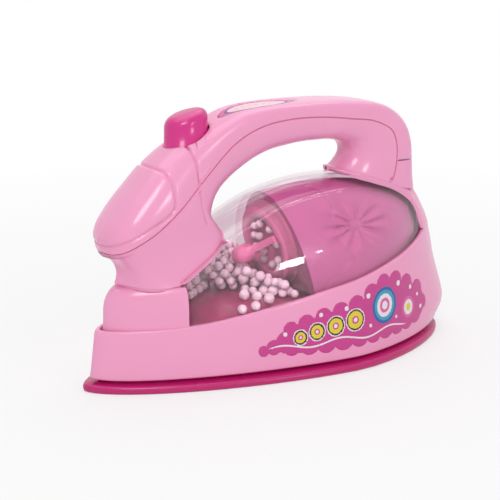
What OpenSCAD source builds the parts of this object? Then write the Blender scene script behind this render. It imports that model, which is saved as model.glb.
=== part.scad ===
// Toy steam iron with a push button, a clear bead chamber and a stirrer fan.
// Frame: the sole rests on z = 0, the toe points to -x and the heel to +x.
// The origin lies on the ground under the middle of the whole toy.

/* [Overall] */
// Length from the toe of the sole plate to the heel bumper
overall_l = 120; // [112:1:134]
// Width across the sole plate
overall_w = 50; // [47:1:60]
// Height from the ground to the top of the push button
overall_h = 73; // [70:1:84]

/* [Sole plate] */
// Thickness of the sole plate
sole_t = 2.2; // [1.8:0.1:3]
// Radius of the rounded edge of the sole plate
sole_edge = 0.9; // [0.4:0.1:1.2]
// How far the sole's heel stays inside the heel bumper
heel_setback = 2.8; // [2:0.1:4]
// Height of the dark gap between the sole plate and the body
sole_gap = 1.1; // [0.6:0.1:1.6]
// Height of the lip that centres the sole plate in the body
lip_h = 2.6; // [2:0.1:4]

/* [Body] */
// Wall of the body, the handle and the collar
wall = 1.7; // [1.3:0.1:2]
// How far the foot of the body stays inside the sole's edge
foot_inset = 2.2; // [1.6:0.1:3]
// How far the rim of the body stays inside the sole's edge
rim_inset = 4; // [3.6:0.1:4.6]
// Radius of the small edges of the body
edge_r = 0.5; // [0.3:0.1:0.7]
// Height of the top of the toe column
column_top = 27.6; // [25:0.1:28.5]

/* [Handle] */
// Width of the grip
grip_w = 15.8; // [14:0.1:18]
// Gap of the joint line between the two handle shells
joint_gap = 0.15; // [0.1:0.05:0.3]

/* [Window] */
// Wall of the clear dome
dome_wall = 1.2; // [0.9:0.1:1.5]
// Space between the clear dome and the hood under it
hood_gap = 2.4; // [1.8:0.1:3]
// Wall of the hood and of the bead tray
hood_wall = 1.2; // [0.9:0.1:1.5]
// Thickness of the clear bulkhead plate
bulkhead_t = 1.4; // [1:0.1:2]
// Height of the bead tray's floor
tray_z = 20.2; // [19.5:0.1:20.6]
// Width of the slope between the tray's floor and its edge
tray_slope = 4.6; // [3:0.1:6]
// Length over which the tray's floor falls towards the toe column
tray_fall = 14; // [8:1:18]

/* [Fan] */
// Lean of the fan's axis, nose down
fan_tilt = 13.5; // [8:0.5:16]
// Width of the pink ring around the fan's opening
ring_w = 3.2; // [2.4:0.1:4]
// Length of the motor's steel can
motor_l = 17; // [14:0.5:18]
// Radius of the motor's shaft
shaft_r = 0.75; // [0.6:0.05:1]
// Radius of the stirrer's nose
nose_r = 2.6; // [2.2:0.1:3]
// Length of the stirrer's nose
nose_l = 5.6; // [4.5:0.1:6.5]
// How far the back of the nose stands ahead of the bulkhead
nose_lead = 5.2; // [4.5:0.1:6]
// Number of slanting arms on the stirrer
arms = 2; // [2:1:4]
// Number of tries to drop a foam ball on the heap
bead_tries = 420; // [60:20:600]
// Radius of the smallest foam ball
bead_r_min = 1.15; // [1:0.05:1.2]
// Radius of the largest foam ball
bead_r_max = 1.5; // [1.35:0.05:1.6]

/* [Button] */
// Length of the push button along the handle
button_l = 12.4; // [11:0.1:13.5]
// Width of the push button
button_w = 10.5; // [9.5:0.1:11.5]
// Travel of the push button
button_travel = 2.5; // [1.5:0.1:3]
// Gap between the button and the handle
button_gap = 0.3; // [0.2:0.05:0.4]
// Wire thickness of the button's spring
spring_wire = 0.6; // [0.4:0.05:0.7]
// Turns of the button's spring
spring_turns = 5; // [4:1:6]

/* [Batteries] */
// Length of one AAA cell without its tip
cell_l = 43.6; // [43:0.1:44]
// Radius of one AAA cell
cell_r = 5.2; // [5:0.05:5.25]
// Clearance around the cells and the door
cell_gap = 0.3; // [0.2:0.05:0.5]

/* [Hidden] */

// One overrun for every cut, and the usual gap between seated pieces
over = 1;
fit = 0.2;
hair = 0.02;
on_plane = hair / 4;

half_l = overall_l / 2;
half_w = overall_w / 2;

// Plan of the sole: two halves of an egg that meet at the widest place
widest_share = 0.108;
toe_draw_share = 0.95;
toe_bow = 1.64;
toe_fullness = 1.58;
heel_bow = 1.58;
heel_fullness = 1.5;
widest_x = overall_l * widest_share;

function bowed(rest, fullness) =
    rest < pow(hair / overall_l, 2) ? 0 : pow(rest, 1 / fullness);
function toe_at(inset) = -half_l + inset * toe_draw_share;
function heel_at(inset) = half_l - heel_setback - inset;
function toe_half(x, inset) =
    let (f = min(1, (widest_x - x) / (widest_x - toe_at(inset))))
    (half_w - inset) * bowed(1 - pow(f, toe_bow), toe_fullness);
function heel_half(x, inset) =
    let (f = min(1, (x - widest_x) / (heel_at(inset) - widest_x)))
    (half_w - inset) * bowed(1 - pow(f, heel_bow), heel_fullness);
function half_at(x, inset) = x < widest_x ? toe_half(x, inset) : heel_half(x, inset);

// Small tools for curves
function lerp(a, b, t) = a + (b - a) * t;
function clamp01(t) = min(1, max(0, t));
function ease(t) = let (u = clamp01(t)) u * u * (3 - 2 * u);
function unit(v) = v / norm(v);
function mirrored(p) = [p[0], -p[1], p[2]];
function segment(rows, x, i = 0) =
    i >= len(rows) - 2 || x < rows[i + 1][0] ? i : segment(rows, x, i + 1);
function slope(rows, i) =
    let (a = rows[max(i - 1, 0)], b = rows[min(i + 1, len(rows) - 1)])
    (b[1] - a[1]) / (b[0] - a[0]);
// Smooth height of a curve through rows of [place, height]
function smooth_at(rows, x) =
    let (i = segment(rows, x), a = rows[i], b = rows[i + 1], h = b[0] - a[0])
    let (t = clamp01((x - a[0]) / h), m = slope(rows, i) * h, n = slope(rows, i + 1) * h)
    a[1] * (1 + 2 * t) * pow(1 - t, 2) + m * t * pow(1 - t, 2)
    + b[1] * t * t * (3 - 2 * t) + n * t * t * (t - 1);
// Smooth point of a curve through rows of equal steps
function along(rows, t) =
    let (last = len(rows) - 1, i = min(floor(t), last - 1), u = t - i)
    let (a = rows[max(i - 1, 0)], b = rows[i], c = rows[i + 1], d = rows[min(i + 2, last)])
    0.5 * (2 * b + (c - a) * u + (2 * a - 5 * b + 4 * c - d) * u * u
    + (3 * b - a - 3 * c + d) * pow(u, 3));
// Conic arc from p to k, drawn towards the corner c; a larger pull is squarer
function arc_point(p, c, k, pull, t) =
    let (a = pow(1 - t, 2), b = 2 * pull * t * (1 - t), d = t * t)
    (a * p + b * c + d * k) / (a + b + d);

// Closed stack of rings of equal length, with a face on its first and last ring. A bent face
// is made of strips across y = 0, for rings that are mirrored there: 0 starts them on the
// plane, 1 beside it.
module ring_stack(rings, bent = -1) {
    n = len(rings[0]);
    last = len(rings) - 1;
    function face(ring, way) = let (b = ring * n)
        bent < 0 ? [[for (i = [0 : n - 1]) way == 0 ? b + i : b + n - 1 - i]]
        : [for (i = [0 : floor(n / 2) - 1 - bent])
            let (k = (n - i - bent) % n, l = n - i - 1 - bent)
            each concat(i + 1 == l ? [] : [turned(way, [b + i + 1, b + l, b + i])],
                i == k ? [] : [turned(way, [b + i, b + l, b + k])])];
    polyhedron([for (ring = rings) each ring], concat(face(0, 0),
        [for (r = [0 : last - 1], i = [0 : n - 1]) each wall_pair(r * n, (r + 1) * n, i, n)],
        face(last, 1)));
}
function turned(way, face) = way == 0 ? face : [face[2], face[1], face[0]];
// Two triangles between points i and i + 1 of a ring and the same points of the next one
function wall_pair(low, high, i, n) = let (k = (i + 1) % n)
    [[low + i, high + i, high + k], [low + i, high + k, low + k]];

// Endless stack of rings, whose last ring joins its first
module ring_tube(rings) {
    n = len(rings[0]);
    m = len(rings);
    polyhedron([for (ring = rings) each ring],
        [for (r = [0 : m - 1], i = [0 : n - 1]) each wall_pair(r * n, ((r + 1) % m) * n, i, n)]);
}

// Shell that is the same on both sides of y = 0, from the skins of its near half. Its rows
// run towards the heel or down, its columns towards y = 0. Points on y = 0 are shared by
// both halves; every other edge gets a rim.
module half_shell(outer, inner) {
    rows = len(outer);
    cols = len(outer[0]);
    count = rows * cols;
    near = concat([for (row = outer) each row], [for (row = inner) each row]);
    far = [for (p = near) mirrored(p)];
    shared = [for (row = outer, p = row) abs(p[1]) < on_plane];
    function id(side, skin, i, j) =
        skin * count + i * cols + j + (side == 0 || shared[i * cols + j] ? 0 : 2 * count);
    // A face with all its points on y = 0 would meet its own mirror image
    function face(way, f) = max(f) < 2 * count
        && max([for (i = f) abs(near[i][1])]) < on_plane ? [] : [turned(way, f)];
    function pair(way, a, b, c, d) = concat(face(way, [a, b, c]), face(way, [a, c, d]));
    function rim(side, i, j, k, l) = shared[i * cols + j] && shared[k * cols + l] ? []
        : pair(side, id(side, 0, i, j), id(side, 0, k, l), id(side, 1, k, l), id(side, 1, i, j));
    faces = concat(
        [for (side = [0, 1], skin = [0, 1], i = [0 : rows - 2], j = [0 : cols - 2])
            each pair(side == skin ? 0 : 1, id(side, skin, i, j), id(side, skin, i, j + 1),
                id(side, skin, i + 1, j + 1), id(side, skin, i + 1, j))],
        [for (side = [0, 1], i = [0 : rows - 2]) each rim(side, i, 0, i + 1, 0)],
        [for (side = [0, 1], i = [0 : rows - 2]) each rim(side, i + 1, cols - 1, i, cols - 1)],
        [for (side = [0, 1], j = [0 : cols - 2]) each rim(side, 0, j + 1, 0, j)],
        [for (side = [0, 1], j = [0 : cols - 2]) each rim(side, rows - 1, j, rows - 1, j + 1)]);
    polyhedron(concat(near, far), faces);
}

// Rim of the body: height over the ground along the toy, in shares of half the length
// and of the height
rim_shares = [[-0.9, 0.2247], [-0.6, 0.2342], [-0.417, 0.2493], [-0.15, 0.285], [0.033, 0.312],
    [0.333, 0.3548], [0.55, 0.3918], [0.667, 0.4192], [0.8, 0.4562], [0.93, 0.5]];
function rim_z(x) = overall_h * smooth_at(rim_shares, x / half_l);

// Back of the heel in the middle plane, as [height, reach] shares
heel_shares = [[0.044, 0.933], [0.068, 0.967], [0.123, 1], [0.178, 0.987], [0.247, 0.957],
    [0.329, 0.923], [0.397, 0.905], [0.479, 0.868], [0.548, 0.819], [0.603, 0.781]];
heel_from_share = 0.3;
function heel_x(z) = half_l * smooth_at(heel_shares, z / overall_h);
// A point of the body, drawn to the heel's profile; depth is measured in from the skin
function heeled(x, y, z, inset, depth) =
    let (f = clamp01((x / half_l - heel_from_share) / (1 - heel_from_share)))
    let (g = clamp01((x - half_l * heel_from_share) / (heel_at(inset) - half_l * heel_from_share)))
    [x + (heel_x(z) - depth - heel_at(inset)) * g * g, y, z];

body_z = sole_t + sole_gap;
ring_sides = 56;
function plan_point(inset, i, n) =
    let (a = 360 * i / n, x = lerp(toe_at(inset), heel_at(inset), (1 - cos(a)) / 2))
    [x, (a < 180 ? -1 : 1) * half_at(x, inset)];
function plan_ring(inset, z, n) = [for (i = [0 : n - 1]) concat(plan_point(inset, i, n), z)];

// Sole plate with its centring lip, the battery box and the screw bosses
door_t = 1.5;
door_sink = 0.3;
box_wall = 1.3;
box_x_share = 0.19;
box_x = half_l * box_x_share;
box_spare = 6.4;
box_l = cell_l + box_spare;
box_w = 4 * cell_r + 3 * cell_gap;
door_ledge = 0.8;
door_tab = 5.6;
door_w = box_w + 2 * door_ledge;
door_l = box_l + door_ledge + door_tab;
door_x = box_x + (door_tab - door_ledge) / 2;
door_screw_out = 2.9;
door_screw_x = box_x + box_l / 2 + door_screw_out;
door_boss_top = 5;
cell_z = door_sink + door_t + cell_gap + cell_r;
cell_top_gap = 0.4;
box_top = cell_z + cell_r + cell_top_gap;
screw_r = 1.2;
screw_head_r = 2.4;
screw_head_h = 1.4;
screw_l = 9;
boss_r = 3.6;
boss_top = 4.6;
post_r = 2.8;
boss_front_share = -0.75;
boss_side_share = -0.34;
boss_rear_share = 0.775;
boss_side_y_share = 0.42;
bosses = [[half_l * boss_front_share, 0], [half_l * boss_rear_share, 0],
    [half_l * boss_side_share, half_w * boss_side_y_share],
    [half_l * boss_side_share, -half_w * boss_side_y_share]];
function skirt_inset(f) = lerp(foot_inset, rim_inset, f);
lip_inset = skirt_inset(lip_h / (rim_z(-half_l) - body_z)) + wall + fit;

module plate_body() {
    edge_steps = 3;
    rings = [for (s = [0 : edge_steps]) let (a = 90 * s / edge_steps)
        plan_ring(sole_edge * (1 - sin(a)), sole_edge * (1 - cos(a)), ring_sides)];
    top = [for (s = [0 : edge_steps]) let (a = 90 * s / edge_steps)
        plan_ring(sole_edge * (1 - cos(a)), sole_t - sole_edge * (1 - sin(a)), ring_sides)];
    ring_stack(concat(rings, top));
}

module plan_slab(inset, z0, z1) {
    translate([0, 0, z0]) linear_extrude(z1 - z0)
        polygon([for (i = [0 : ring_sides - 1]) plan_point(inset, i, ring_sides)]);
}

module centred_box(l, w, z0, z1, x = 0) {
    translate([x - l / 2, -w / 2, z0]) cube([l, w, z1 - z0]);
}

module sole_plate() {
    color("#d8288e") difference() {
        union() {
            plate_body();
            difference() {
                plan_slab(lip_inset, sole_t - hair, sole_t + sole_gap + lip_h);
                plan_slab(lip_inset + box_wall, sole_t - over, sole_t + sole_gap + lip_h + over);
            }
            centred_box(box_l + 2 * box_wall, box_w + 2 * box_wall, sole_t - hair, box_top, box_x);
            centred_box(2 * door_tab, door_w, sole_t - hair, sole_t + door_ledge,
                box_x + box_l / 2);
            translate([door_screw_x, 0, sole_t - hair])
                cylinder(h = door_boss_top - sole_t, r = 2 * screw_r, $fn = 32);
            for (p = bosses) translate([p[0], p[1], sole_t - hair])
                cylinder(h = boss_top - sole_t, r = boss_r, $fn = 48);
        }
        centred_box(box_l, box_w, door_sink, box_top + over, box_x);
        centred_box(door_l, door_w, -over, door_sink + door_t, door_x);
        for (p = bosses) translate([p[0], p[1], -over]) {
            cylinder(h = boss_top + 2 * over, r = screw_r + fit, $fn = 32);
            cylinder(h = over + boss_top - screw_head_h - fit, r = screw_head_r + fit, $fn = 32);
        }
        translate([door_screw_x, 0, -over])
            cylinder(h = door_boss_top + 2 * over, r = screw_r + fit, $fn = 32);
    }
}

// Battery door, let into the sole, with a ridge along its ends
door_screw_l = 5;
module battery_door() {
    color("#d8288e") difference() {
        centred_box(door_l - 2 * cell_gap, door_w - 2 * cell_gap, door_sink,
            door_sink + door_t - hair, door_x);
        translate([door_screw_x, 0, -over])
            cylinder(h = door_t + 2 * over, r = screw_r + hair, $fn = 32);
        translate([door_screw_x, 0, -over])
            cylinder(h = over + door_sink + door_t / 2, r = 2 * screw_r + fit, $fn = 32);
    }
}

slot_share = 0.33;
slot_reach_share = 0.6;
module screw(head_r, head_h, length) {
    difference() {
        union() {
            cylinder(h = head_h, r = head_r, $fn = 32);
            cylinder(h = length, r = screw_r, $fn = 32);
        }
        slot = head_r * slot_share;
        reach = head_r * slot_reach_share;
        for (a = [0, 90]) rotate([0, 0, a])
            translate([-reach, -slot / 2, -over]) cube([2 * reach, slot, over + head_h / 2]);
    }
}

module battery_door_screw() {
    color("silver") translate([door_screw_x, 0, door_sink + hair])
        screw(2 * screw_r, door_t / 2 - 2 * hair, door_screw_l);
}

module housing_screws() {
    color("silver") for (p = bosses)
        translate([p[0], p[1], boss_top - screw_head_h - fit - screw_head_h])
            screw(screw_head_r, screw_head_h, screw_l);
}

// Body: a skirt under the window, the toe column, the heel tongue and the rear stub
function skirt_ring(f, inset, depth, drop = 0) = [for (i = [0 : ring_sides - 1])
    let (p = plan_point(inset, i, ring_sides), z = lerp(body_z, rim_z(p[0]), f) - drop)
    heeled(p[0], p[1], z, inset, depth)];
// Heights of the skirt's outer rings, closer together where the heel bulges
skirt_shares = [0.07, 0.14, 0.21, 0.3, 0.4, 0.52, 0.66, 0.82];
skirt_inner_shares = [0.66, 0.4, 0.21];
edge_soft_share = 0.3;

module skirt() {
    soft = edge_r * edge_soft_share;
    ring_tube(concat(
        [skirt_ring(0, foot_inset + edge_r, 0), skirt_ring(0, foot_inset + soft, 0, -soft),
            skirt_ring(0, foot_inset, 0, -edge_r)],
        [for (f = skirt_shares) skirt_ring(f, skirt_inset(f), 0)],
        [skirt_ring(1, rim_inset, 0, edge_r), skirt_ring(1, rim_inset + soft, soft, soft),
            skirt_ring(1, rim_inset + edge_r, edge_r)],
        [skirt_ring(1, rim_inset + wall - soft, wall - soft),
            skirt_ring(1, rim_inset + wall, wall, edge_r)],
        [for (f = skirt_inner_shares) skirt_ring(f, skirt_inset(f) + wall, wall)],
        [skirt_ring(0, foot_inset + wall, wall)]));
}

// Toe column under the collar, drawn in a little from the rim
column_ledge = 0.6;
column_rear_share = -0.577;
column_front_share = -0.893;
column_rear = half_l * column_rear_share;
column_front = half_l * column_front_share;
column_sides = 14;
column_round = 4.2;
column_draft = 0.9;
// Points crowd towards the round front
column_crowding = 1.6;
column_lean_share = 0.55;
column_low_share = 0.3333;
// The hollow inside is drawn in more at its top
column_side_walls = 1.4;
column_front_walls = 1.6;
column_hollow_share = 0.3;
function column_ring(z, inset, front, rear) =
    let (near = [for (i = [0 : column_sides]) let (u = pow(i / column_sides, column_crowding))
        [lerp(front, rear, u), -half_at(lerp(toe_at(inset), rear, u), inset), z]])
    concat(near, [for (i = [column_sides : -1 : 1]) mirrored(near[i])]);

module column() {
    inset = rim_inset + column_ledge;
    low = body_z + column_top * column_low_share;
    difference() {
        ring_stack(concat(
            [column_ring(low, inset, column_front - column_draft, column_rear)],
            [for (a = [0 : 22.5 : 90]) let (drawn = column_round * (1 - cos(a)))
                column_ring(column_top - column_round * (1 - sin(a)), inset + drawn * column_lean_share,
                    column_front + drawn, column_rear)]));
        ring_stack([column_ring(low - over, inset + wall, column_front + wall, column_rear - wall),
            column_ring(column_top - wall - column_round * column_hollow_share,
                inset + column_side_walls * wall, column_front + column_front_walls * wall,
                column_rear - wall)]);
    }
}

// Round hole of the bulkhead, the motor behind it, and the middle of the fan's ring
fan_hole_share = 0.1887;
fan_hole_r = fan_hole_share * sqrt(overall_w * overall_h);
ring_bore_r = fan_hole_r - ring_w;
motor_share = 0.6667;
motor_r = fan_hole_r * motor_share;
fan_x_share = -0.055;
fan_z_share = 0.449;
fan_centre = [half_l * fan_x_share, 0, overall_h * fan_z_share];
holder_flange = 1;

// Clear dome: half ellipses that stand on the rim, from the column to the heel
crest_shares = [[-0.617, 0.4726], [-0.5, 0.5225], [-0.367, 0.578], [-0.158, 0.656],
    [-0.02, 0.687], [0.117, 0.704], [0.267, 0.708], [0.417, 0.7], [0.567, 0.672],
    [0.7, 0.622], [0.76, 0.579], [0.8, 0.532], [0.835, 0.49]];
dome_inset = rim_inset + edge_r;
dome_front = column_rear + fit;
seat_gap = 0.1;
tongue_t = 0.8;
tongue_gap = 0.45;
function crest_z(x) = overall_h * smooth_at(crest_shares, x / half_l);
// The rim is drawn to the heel's profile, and the dome follows it under the tongue
function rim_draw(x, inset, depth) =
    let (from = half_l * heel_from_share, g = clamp01((x - from) / (heel_at(inset) - from)))
    (heel_x(rim_z(heel_at(inset))) - depth - tongue_t - tongue_gap - heel_at(inset)) * g * g;
function drawn_x(x, inset, depth) = x + rim_draw(x, inset, depth);
// Height of the dome over the point x, y
function dome_z(x, y) =
    let (n = x - rim_draw(x - rim_draw(x, dome_inset, 0), dome_inset, 0))
    let (a = max(half_at(n, dome_inset), hair), r = min(1, abs(y) / a))
    lerp(rim_z(n), crest_z(x), sqrt(1 - r * r));

dome_steps = 18;
dome_cols = 8;
// Point of a window shell: u runs from its front to the heel, a climbs from rim to crest
function window_point(u, a, front, depth, base_drop, lean) =
    let (inset = dome_inset + depth, n = lerp(front, heel_at(inset), u))
    let (x = drawn_x(n, inset, depth), f = dimple(x, a, depth))
    let (z = lerp(rim_z(n) - base_drop, max(crest_z(x) - depth, rim_z(n)), sin(a)))
    [x - lean * (z - fan_centre[2]), -half_at(n, inset) * cos(a) + f, z];
function window_row(u, front, depth, base_drop, lean) = [for (j = [0 : dome_cols])
    let (p = window_point(u, 90 * j / dome_cols, front, depth, base_drop, lean))
    [p[0], j == dome_cols ? 0 : p[1], p[2]]];
function flat_row(row) = [for (p = row) [p[0], 0, p[2]]];
// Rows of a window shell; the first and the last lie on y = 0 and close its ends
function window_rows(front, depth, base_drop, lean) =
    let (rows = [for (i = [0 : dome_steps]) let (u = (1 - cos(180 * i / dome_steps)) / 2)
        window_row(u, front, depth, base_drop, lean * pow(1 - u, 3))])
    concat([flat_row(rows[0])], [for (i = [0 : dome_steps - 1]) rows[i]],
        [flat_row(rows[dome_steps])]);

module clear_dome() {
    color([0.97, 0.9, 0.94, 0.4]) half_shell(window_rows(dome_front, 0, -seat_gap, 0),
        window_rows(dome_front + dome_wall, dome_wall, -seat_gap, 0));
}

// Hood under the dome, with a dimple on each side and a flange on the body's rim
hood_depth = dome_wall + hood_gap;
flange_drop = 1.2;
flange_inset = rim_inset + wall + fit;
dimple_x_share = 0.24;
dimple_z_share = 0.52;
dimple_l_share = 0.2;
dimple_h_share = 0.085;
dimple_depth = 1.6;
// How far the hood is pressed in by its dimple at x, at the climb a
function dimple(x, a, depth) =
    let (z = lerp(rim_z(x), crest_z(x) - depth, sin(a)))
    let (r = norm([(x / half_l - dimple_x_share) / dimple_l_share,
        (z / overall_h - dimple_z_share) / dimple_h_share]))
    depth < hood_depth ? 0 : dimple_depth * pow(1 - min(1, r * r), 2);
function flange_point(u, front, drop, lean) =
    let (n = lerp(front, heel_at(flange_inset), u), z = rim_z(n) - drop - seat_gap)
    [drawn_x(n, flange_inset, fit) - lean * (z - fan_centre[2]), -half_at(n, flange_inset), z];
function hood_rows(front, depth, drop) =
    let (lean = tan(fan_tilt), rows = [for (i = [0 : dome_steps])
        let (u = (1 - cos(180 * i / dome_steps)) / 2, k = lean * pow(1 - u, 3))
        concat([flange_point(u, front, drop, k)], window_row(u, front, depth, drop, k))])
    concat([flat_row(rows[0])], [for (i = [0 : dome_steps - 1]) rows[i]],
        [flat_row(rows[dome_steps])]);
hood_front = fan_centre[0] + (bulkhead_t + holder_flange + 2 * fit) / cos(fan_tilt);

module inner_hood() {
    color("#c4378c") difference() {
        half_shell(hood_rows(hood_front, hood_depth, flange_drop),
            hood_rows(hood_front + hood_wall, hood_depth + hood_wall, flange_drop + hood_wall));
        on_fan_axis() translate([0, 0, -bulkhead_t - holder_cup_l])
            cylinder(h = holder_cup_l, r = cup_r + fit, $fn = 64);
    }
}

// Tongue of the body over the crest, and the foot of the rear column
tongue_mid_shares = [[0.283, 0.7], [0.35, 0.7], [0.47, 0.7], [0.6, 0.66],
    [0.7, 0.64], [0.781, 0.603], [0.818, 0.55], [0.862, 0.481], [0.889, 0.42]];
tongue_width_shares = [0.05, 0.72, 1, 1, 0.97, 0.9, 0.8, 0.66, 0.5];
tongue_drop_shares = [0.005, 0.018, 0.042, 0.052, 0.055, 0.056, 0.035, 0.01, 0.01];
tongue_back_shares = [0, 0, 0, 0, 0, 0.01, 0.015, 0.02, 0.02];
tongue_low_share = 0.82;
tongue_steps = 16;
tongue_cols = 4;
function tongue_point(t, v) =
    let (mid = along(tongue_mid_shares, t), w = grip_w / 2 * along(tongue_width_shares, t))
    let (x = half_l * (mid[0] - along(tongue_back_shares, t) * v * v))
    let (z = overall_h * (mid[1] - along(tongue_drop_shares, t) * v * v))
    [x, -w * v, max(z, over_dome(x, w * v) + tongue_t)];
// Least height of the tongue's underside, clear of the dome
function over_dome(x, y) = x > half_l * tongue_low_share ? 0
    : dome_z(x - tongue_gap, max(0, abs(y) - tongue_gap)) + tongue_gap;
function under_tongue(p) = let (low = over_dome(p[0], p[1]))
    [p[0], p[1], low == 0 ? p[2] - tongue_t : min(p[2] - tongue_t, low)];

module tongue() {
    top = [for (i = [0 : tongue_steps]) let (t = i * (len(tongue_mid_shares) - 1) / tongue_steps)
        [for (j = [0 : tongue_cols]) tongue_point(t, 1 - j / tongue_cols)]];
    half_shell(top, [for (row = top) [for (p = row) under_tongue(p)]]);
}

// Handle: four curves run from the tongue over the grip to the nose.
// The crown is the outer profile, the seam is where the two shells meet, the keel is the inner
// profile and then the collar's lower edge, and the bend shapes the lower skin between them.
crown_shares = [[0.764, 0.603], [0.75, 0.671], [0.742, 0.734], [0.733, 0.797], [0.708, 0.858],
    [0.66, 0.911], [0.583, 0.949], [0.483, 0.974], [0.333, 0.99], [0.183, 0.996],
    [0.033, 0.997], [-0.117, 0.994], [-0.242, 0.98], [-0.35, 0.943], [-0.45, 0.908],
    [-0.55, 0.88], [-0.637, 0.838], [-0.702, 0.795], [-0.753, 0.751], [-0.805, 0.706],
    [-0.85, 0.661], [-0.885, 0.621], [-0.905, 0.587], [-0.915, 0.562]];
seam_shares = [[0.567, 1, 0.64], [0.592, 0.98, 0.685], [0.605, 0.97, 0.74], [0.603, 0.97, 0.803],
    [0.575, 0.97, 0.858], [0.517, 0.97, 0.889], [0.442, 0.98, 0.91], [0.342, 1, 0.921],
    [0.217, 1, 0.936], [0.083, 1, 0.944], [-0.033, 1, 0.942], [-0.133, 1, 0.93],
    [-0.225, 1.01, 0.905], [-0.308, 1.02, 0.866], [-0.383, 1.05, 0.814], [-0.453, 1.11, 0.762],
    [-0.508, 1.18, 0.722], [-0.567, 1.26, 0.679], [-0.633, 1.3, 0.636], [-0.705, 1.3, 0.593],
    [-0.773, 1.24, 0.563], [-0.837, 1.04, 0.541], [-0.883, 0.68, 0.533], [-0.908, 0, 0.536]];
keel_shares = [[0.29, 0, 0.709], [0.34, 0, 0.74], [0.37, 0, 0.77], [0.37, 0, 0.797],
    [0.343, 0, 0.82], [0.288, 0, 0.833], [0.228, 0, 0.839], [0.16, 0, 0.84], [0.083, 0, 0.838],
    [0, 0, 0.83], [-0.078, 0, 0.819], [-0.157, 0, 0.796], [-0.232, 0, 0.763],
    [-0.297, 0, 0.728], [-0.349, 0, 0.69], [-0.378, 0, 0.647], [-0.385, 0, 0.59],
    [-0.36, 0.64, 0.562], [-0.357, 1.02, 0.527], [-0.4, 1.28, 0.485], [-0.492, 1.32, 0.419],
    [-0.608, 1.25, 0.384], [-0.742, 0.99, 0.384], [-0.838, 0, 0.392]];
bend_shares = [[0.29, 1, 0.709], [0.34, 0.98, 0.74], [0.37, 0.97, 0.77], [0.37, 0.97, 0.797],
    [0.343, 0.97, 0.82], [0.288, 0.97, 0.833], [0.228, 0.98, 0.839], [0.16, 1, 0.84],
    [0.083, 1, 0.838], [0, 1, 0.83], [-0.078, 1, 0.819], [-0.157, 1, 0.796],
    [-0.232, 1.01, 0.763], [-0.297, 1.03, 0.728], [-0.349, 1.07, 0.69], [-0.378, 1.12, 0.647],
    [-0.385, 1.18, 0.605], [-0.385, 1.24, 0.585], [-0.42, 1.25, 0.57], [-0.53, 1.22, 0.54],
    [-0.61, 1.16, 0.49], [-0.69, 1.05, 0.46], [-0.77, 0.75, 0.455], [-0.8, 0, 0.457]];
tail = len(crown_shares) - 1;
collar_row = 16;
// Rows over which the lower shell turns into the collar
turn_rows = 2;
nose_rows = 3;
cover_row = 2;
function crown_at(t) = let (p = along(crown_shares, t)) [half_l * p[0], 0, overall_h * p[1]];
function placed(p) = [half_l * p[0], -grip_w / 2 * p[1], overall_h * p[2]];
function seam_at(t) = placed(along(seam_shares, t));
function keel_at(t) = placed(along(keel_shares, t));
function bend_at(t) = placed(along(bend_shares, t));
// Directions square to the profiles: from the crown and the keel into the handle, and from
// the seam towards the lower shell
near_row = 0.1;
function ahead(t) = min(t + near_row, tail);
function behind(t) = max(t - near_row, 0);
function crown_in(t) =
    let (d = crown_at(ahead(t)) - crown_at(behind(t))) unit([-d[2], 0, d[0]]);
function seam_down(t) =
    let (d = seam_at(ahead(t)) - seam_at(behind(t))) unit([-d[2], 0, d[0]]);
function keel_in(t) =
    let (d = keel_at(ahead(t)) - keel_at(behind(t)), k = keel_at(t))
    unit(lerp(unit([d[2], 0, -d[0]]), to_collar(k), ease((t - collar_row) / turn_rows + 1)));
function to_collar(p) = let (c = [half_l * collar_mid_share, 0, p[2]]) unit(c - p);
collar_mid_share = -0.6;
// The cover's section is squarer over the grip
cover_pull_shares = [[0, 1.3], [5, 1.4], [7, 3], [12, 3], [15, 1.3], [23, 1.15]];
lower_pull = 1.15;
skin_cols = 5;
// The joint between the two shells climbs inwards, so that no light passes
seam_bevel_share = 0.5;

function upper_row(t, depth) =
    let (c = crown_at(t) + crown_in(t) * depth, s = seam_at(t), y = drawn_in(s[1], depth, t))
    let (r = s - seam_down(t) * depth * seam_bevel_share, rim = [r[0], y, r[2]] + drawn_back(t, depth))
    [for (j = [0 : skin_cols])
        let (p = arc_point(rim, [c[0], y, c[2]], c, smooth_at(cover_pull_shares, t), j / skin_cols))
        [p[0], j == skin_cols || t >= tail ? 0 : p[1], max(p[2], upper_limit(p[0], p[1]))]];
// Least height of the upper shell's foot, clear of the dome
function upper_limit(x, y) = x < half_l * tongue_from_share ? 0 : dome_z(x, y) + dome_gap;
// Inner side of a wall at y; towards the nose the space between the walls narrows to nothing
function drawn_in(y, depth, t) =
    t >= tail ? 0 : y * max(narrow_share, 1 - depth / max(hair, -y));
narrow_share = 0.3;
// Near the nose the seam's inner edge also moves back from the tip
function drawn_back(t, depth) = [depth * ease((t - tail) / nose_rows + 1), 0, 0];

function lower_row(t, depth) =
    let (s = seam_at(t), k0 = keel_at(t), b0 = bend_at(t), f = ease((t - collar_row + 1) / turn_rows))
    let (r = s + seam_down(t) * (joint_gap - depth * seam_bevel_share))
    let (p = [r[0], drawn_in(s[1], depth, t), r[2]] + drawn_back(t, depth))
    let (k = k0 + keel_in(t) * depth)
    let (b = lerp([b0[0] + k[0] - k0[0], p[1], b0[2] + k[2] - k0[2]], b0 + to_collar(b0) * depth, f))
    [for (j = [0 : skin_cols])
        let (q = arc_point(p, b, k, lower_pull, j / skin_cols))
        [q[0], (j == skin_cols && t <= collar_row) || t >= tail ? 0 : min(-hair, q[1]),
            max(q[2], lower_limit(q[0], q[1]))]];
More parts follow.
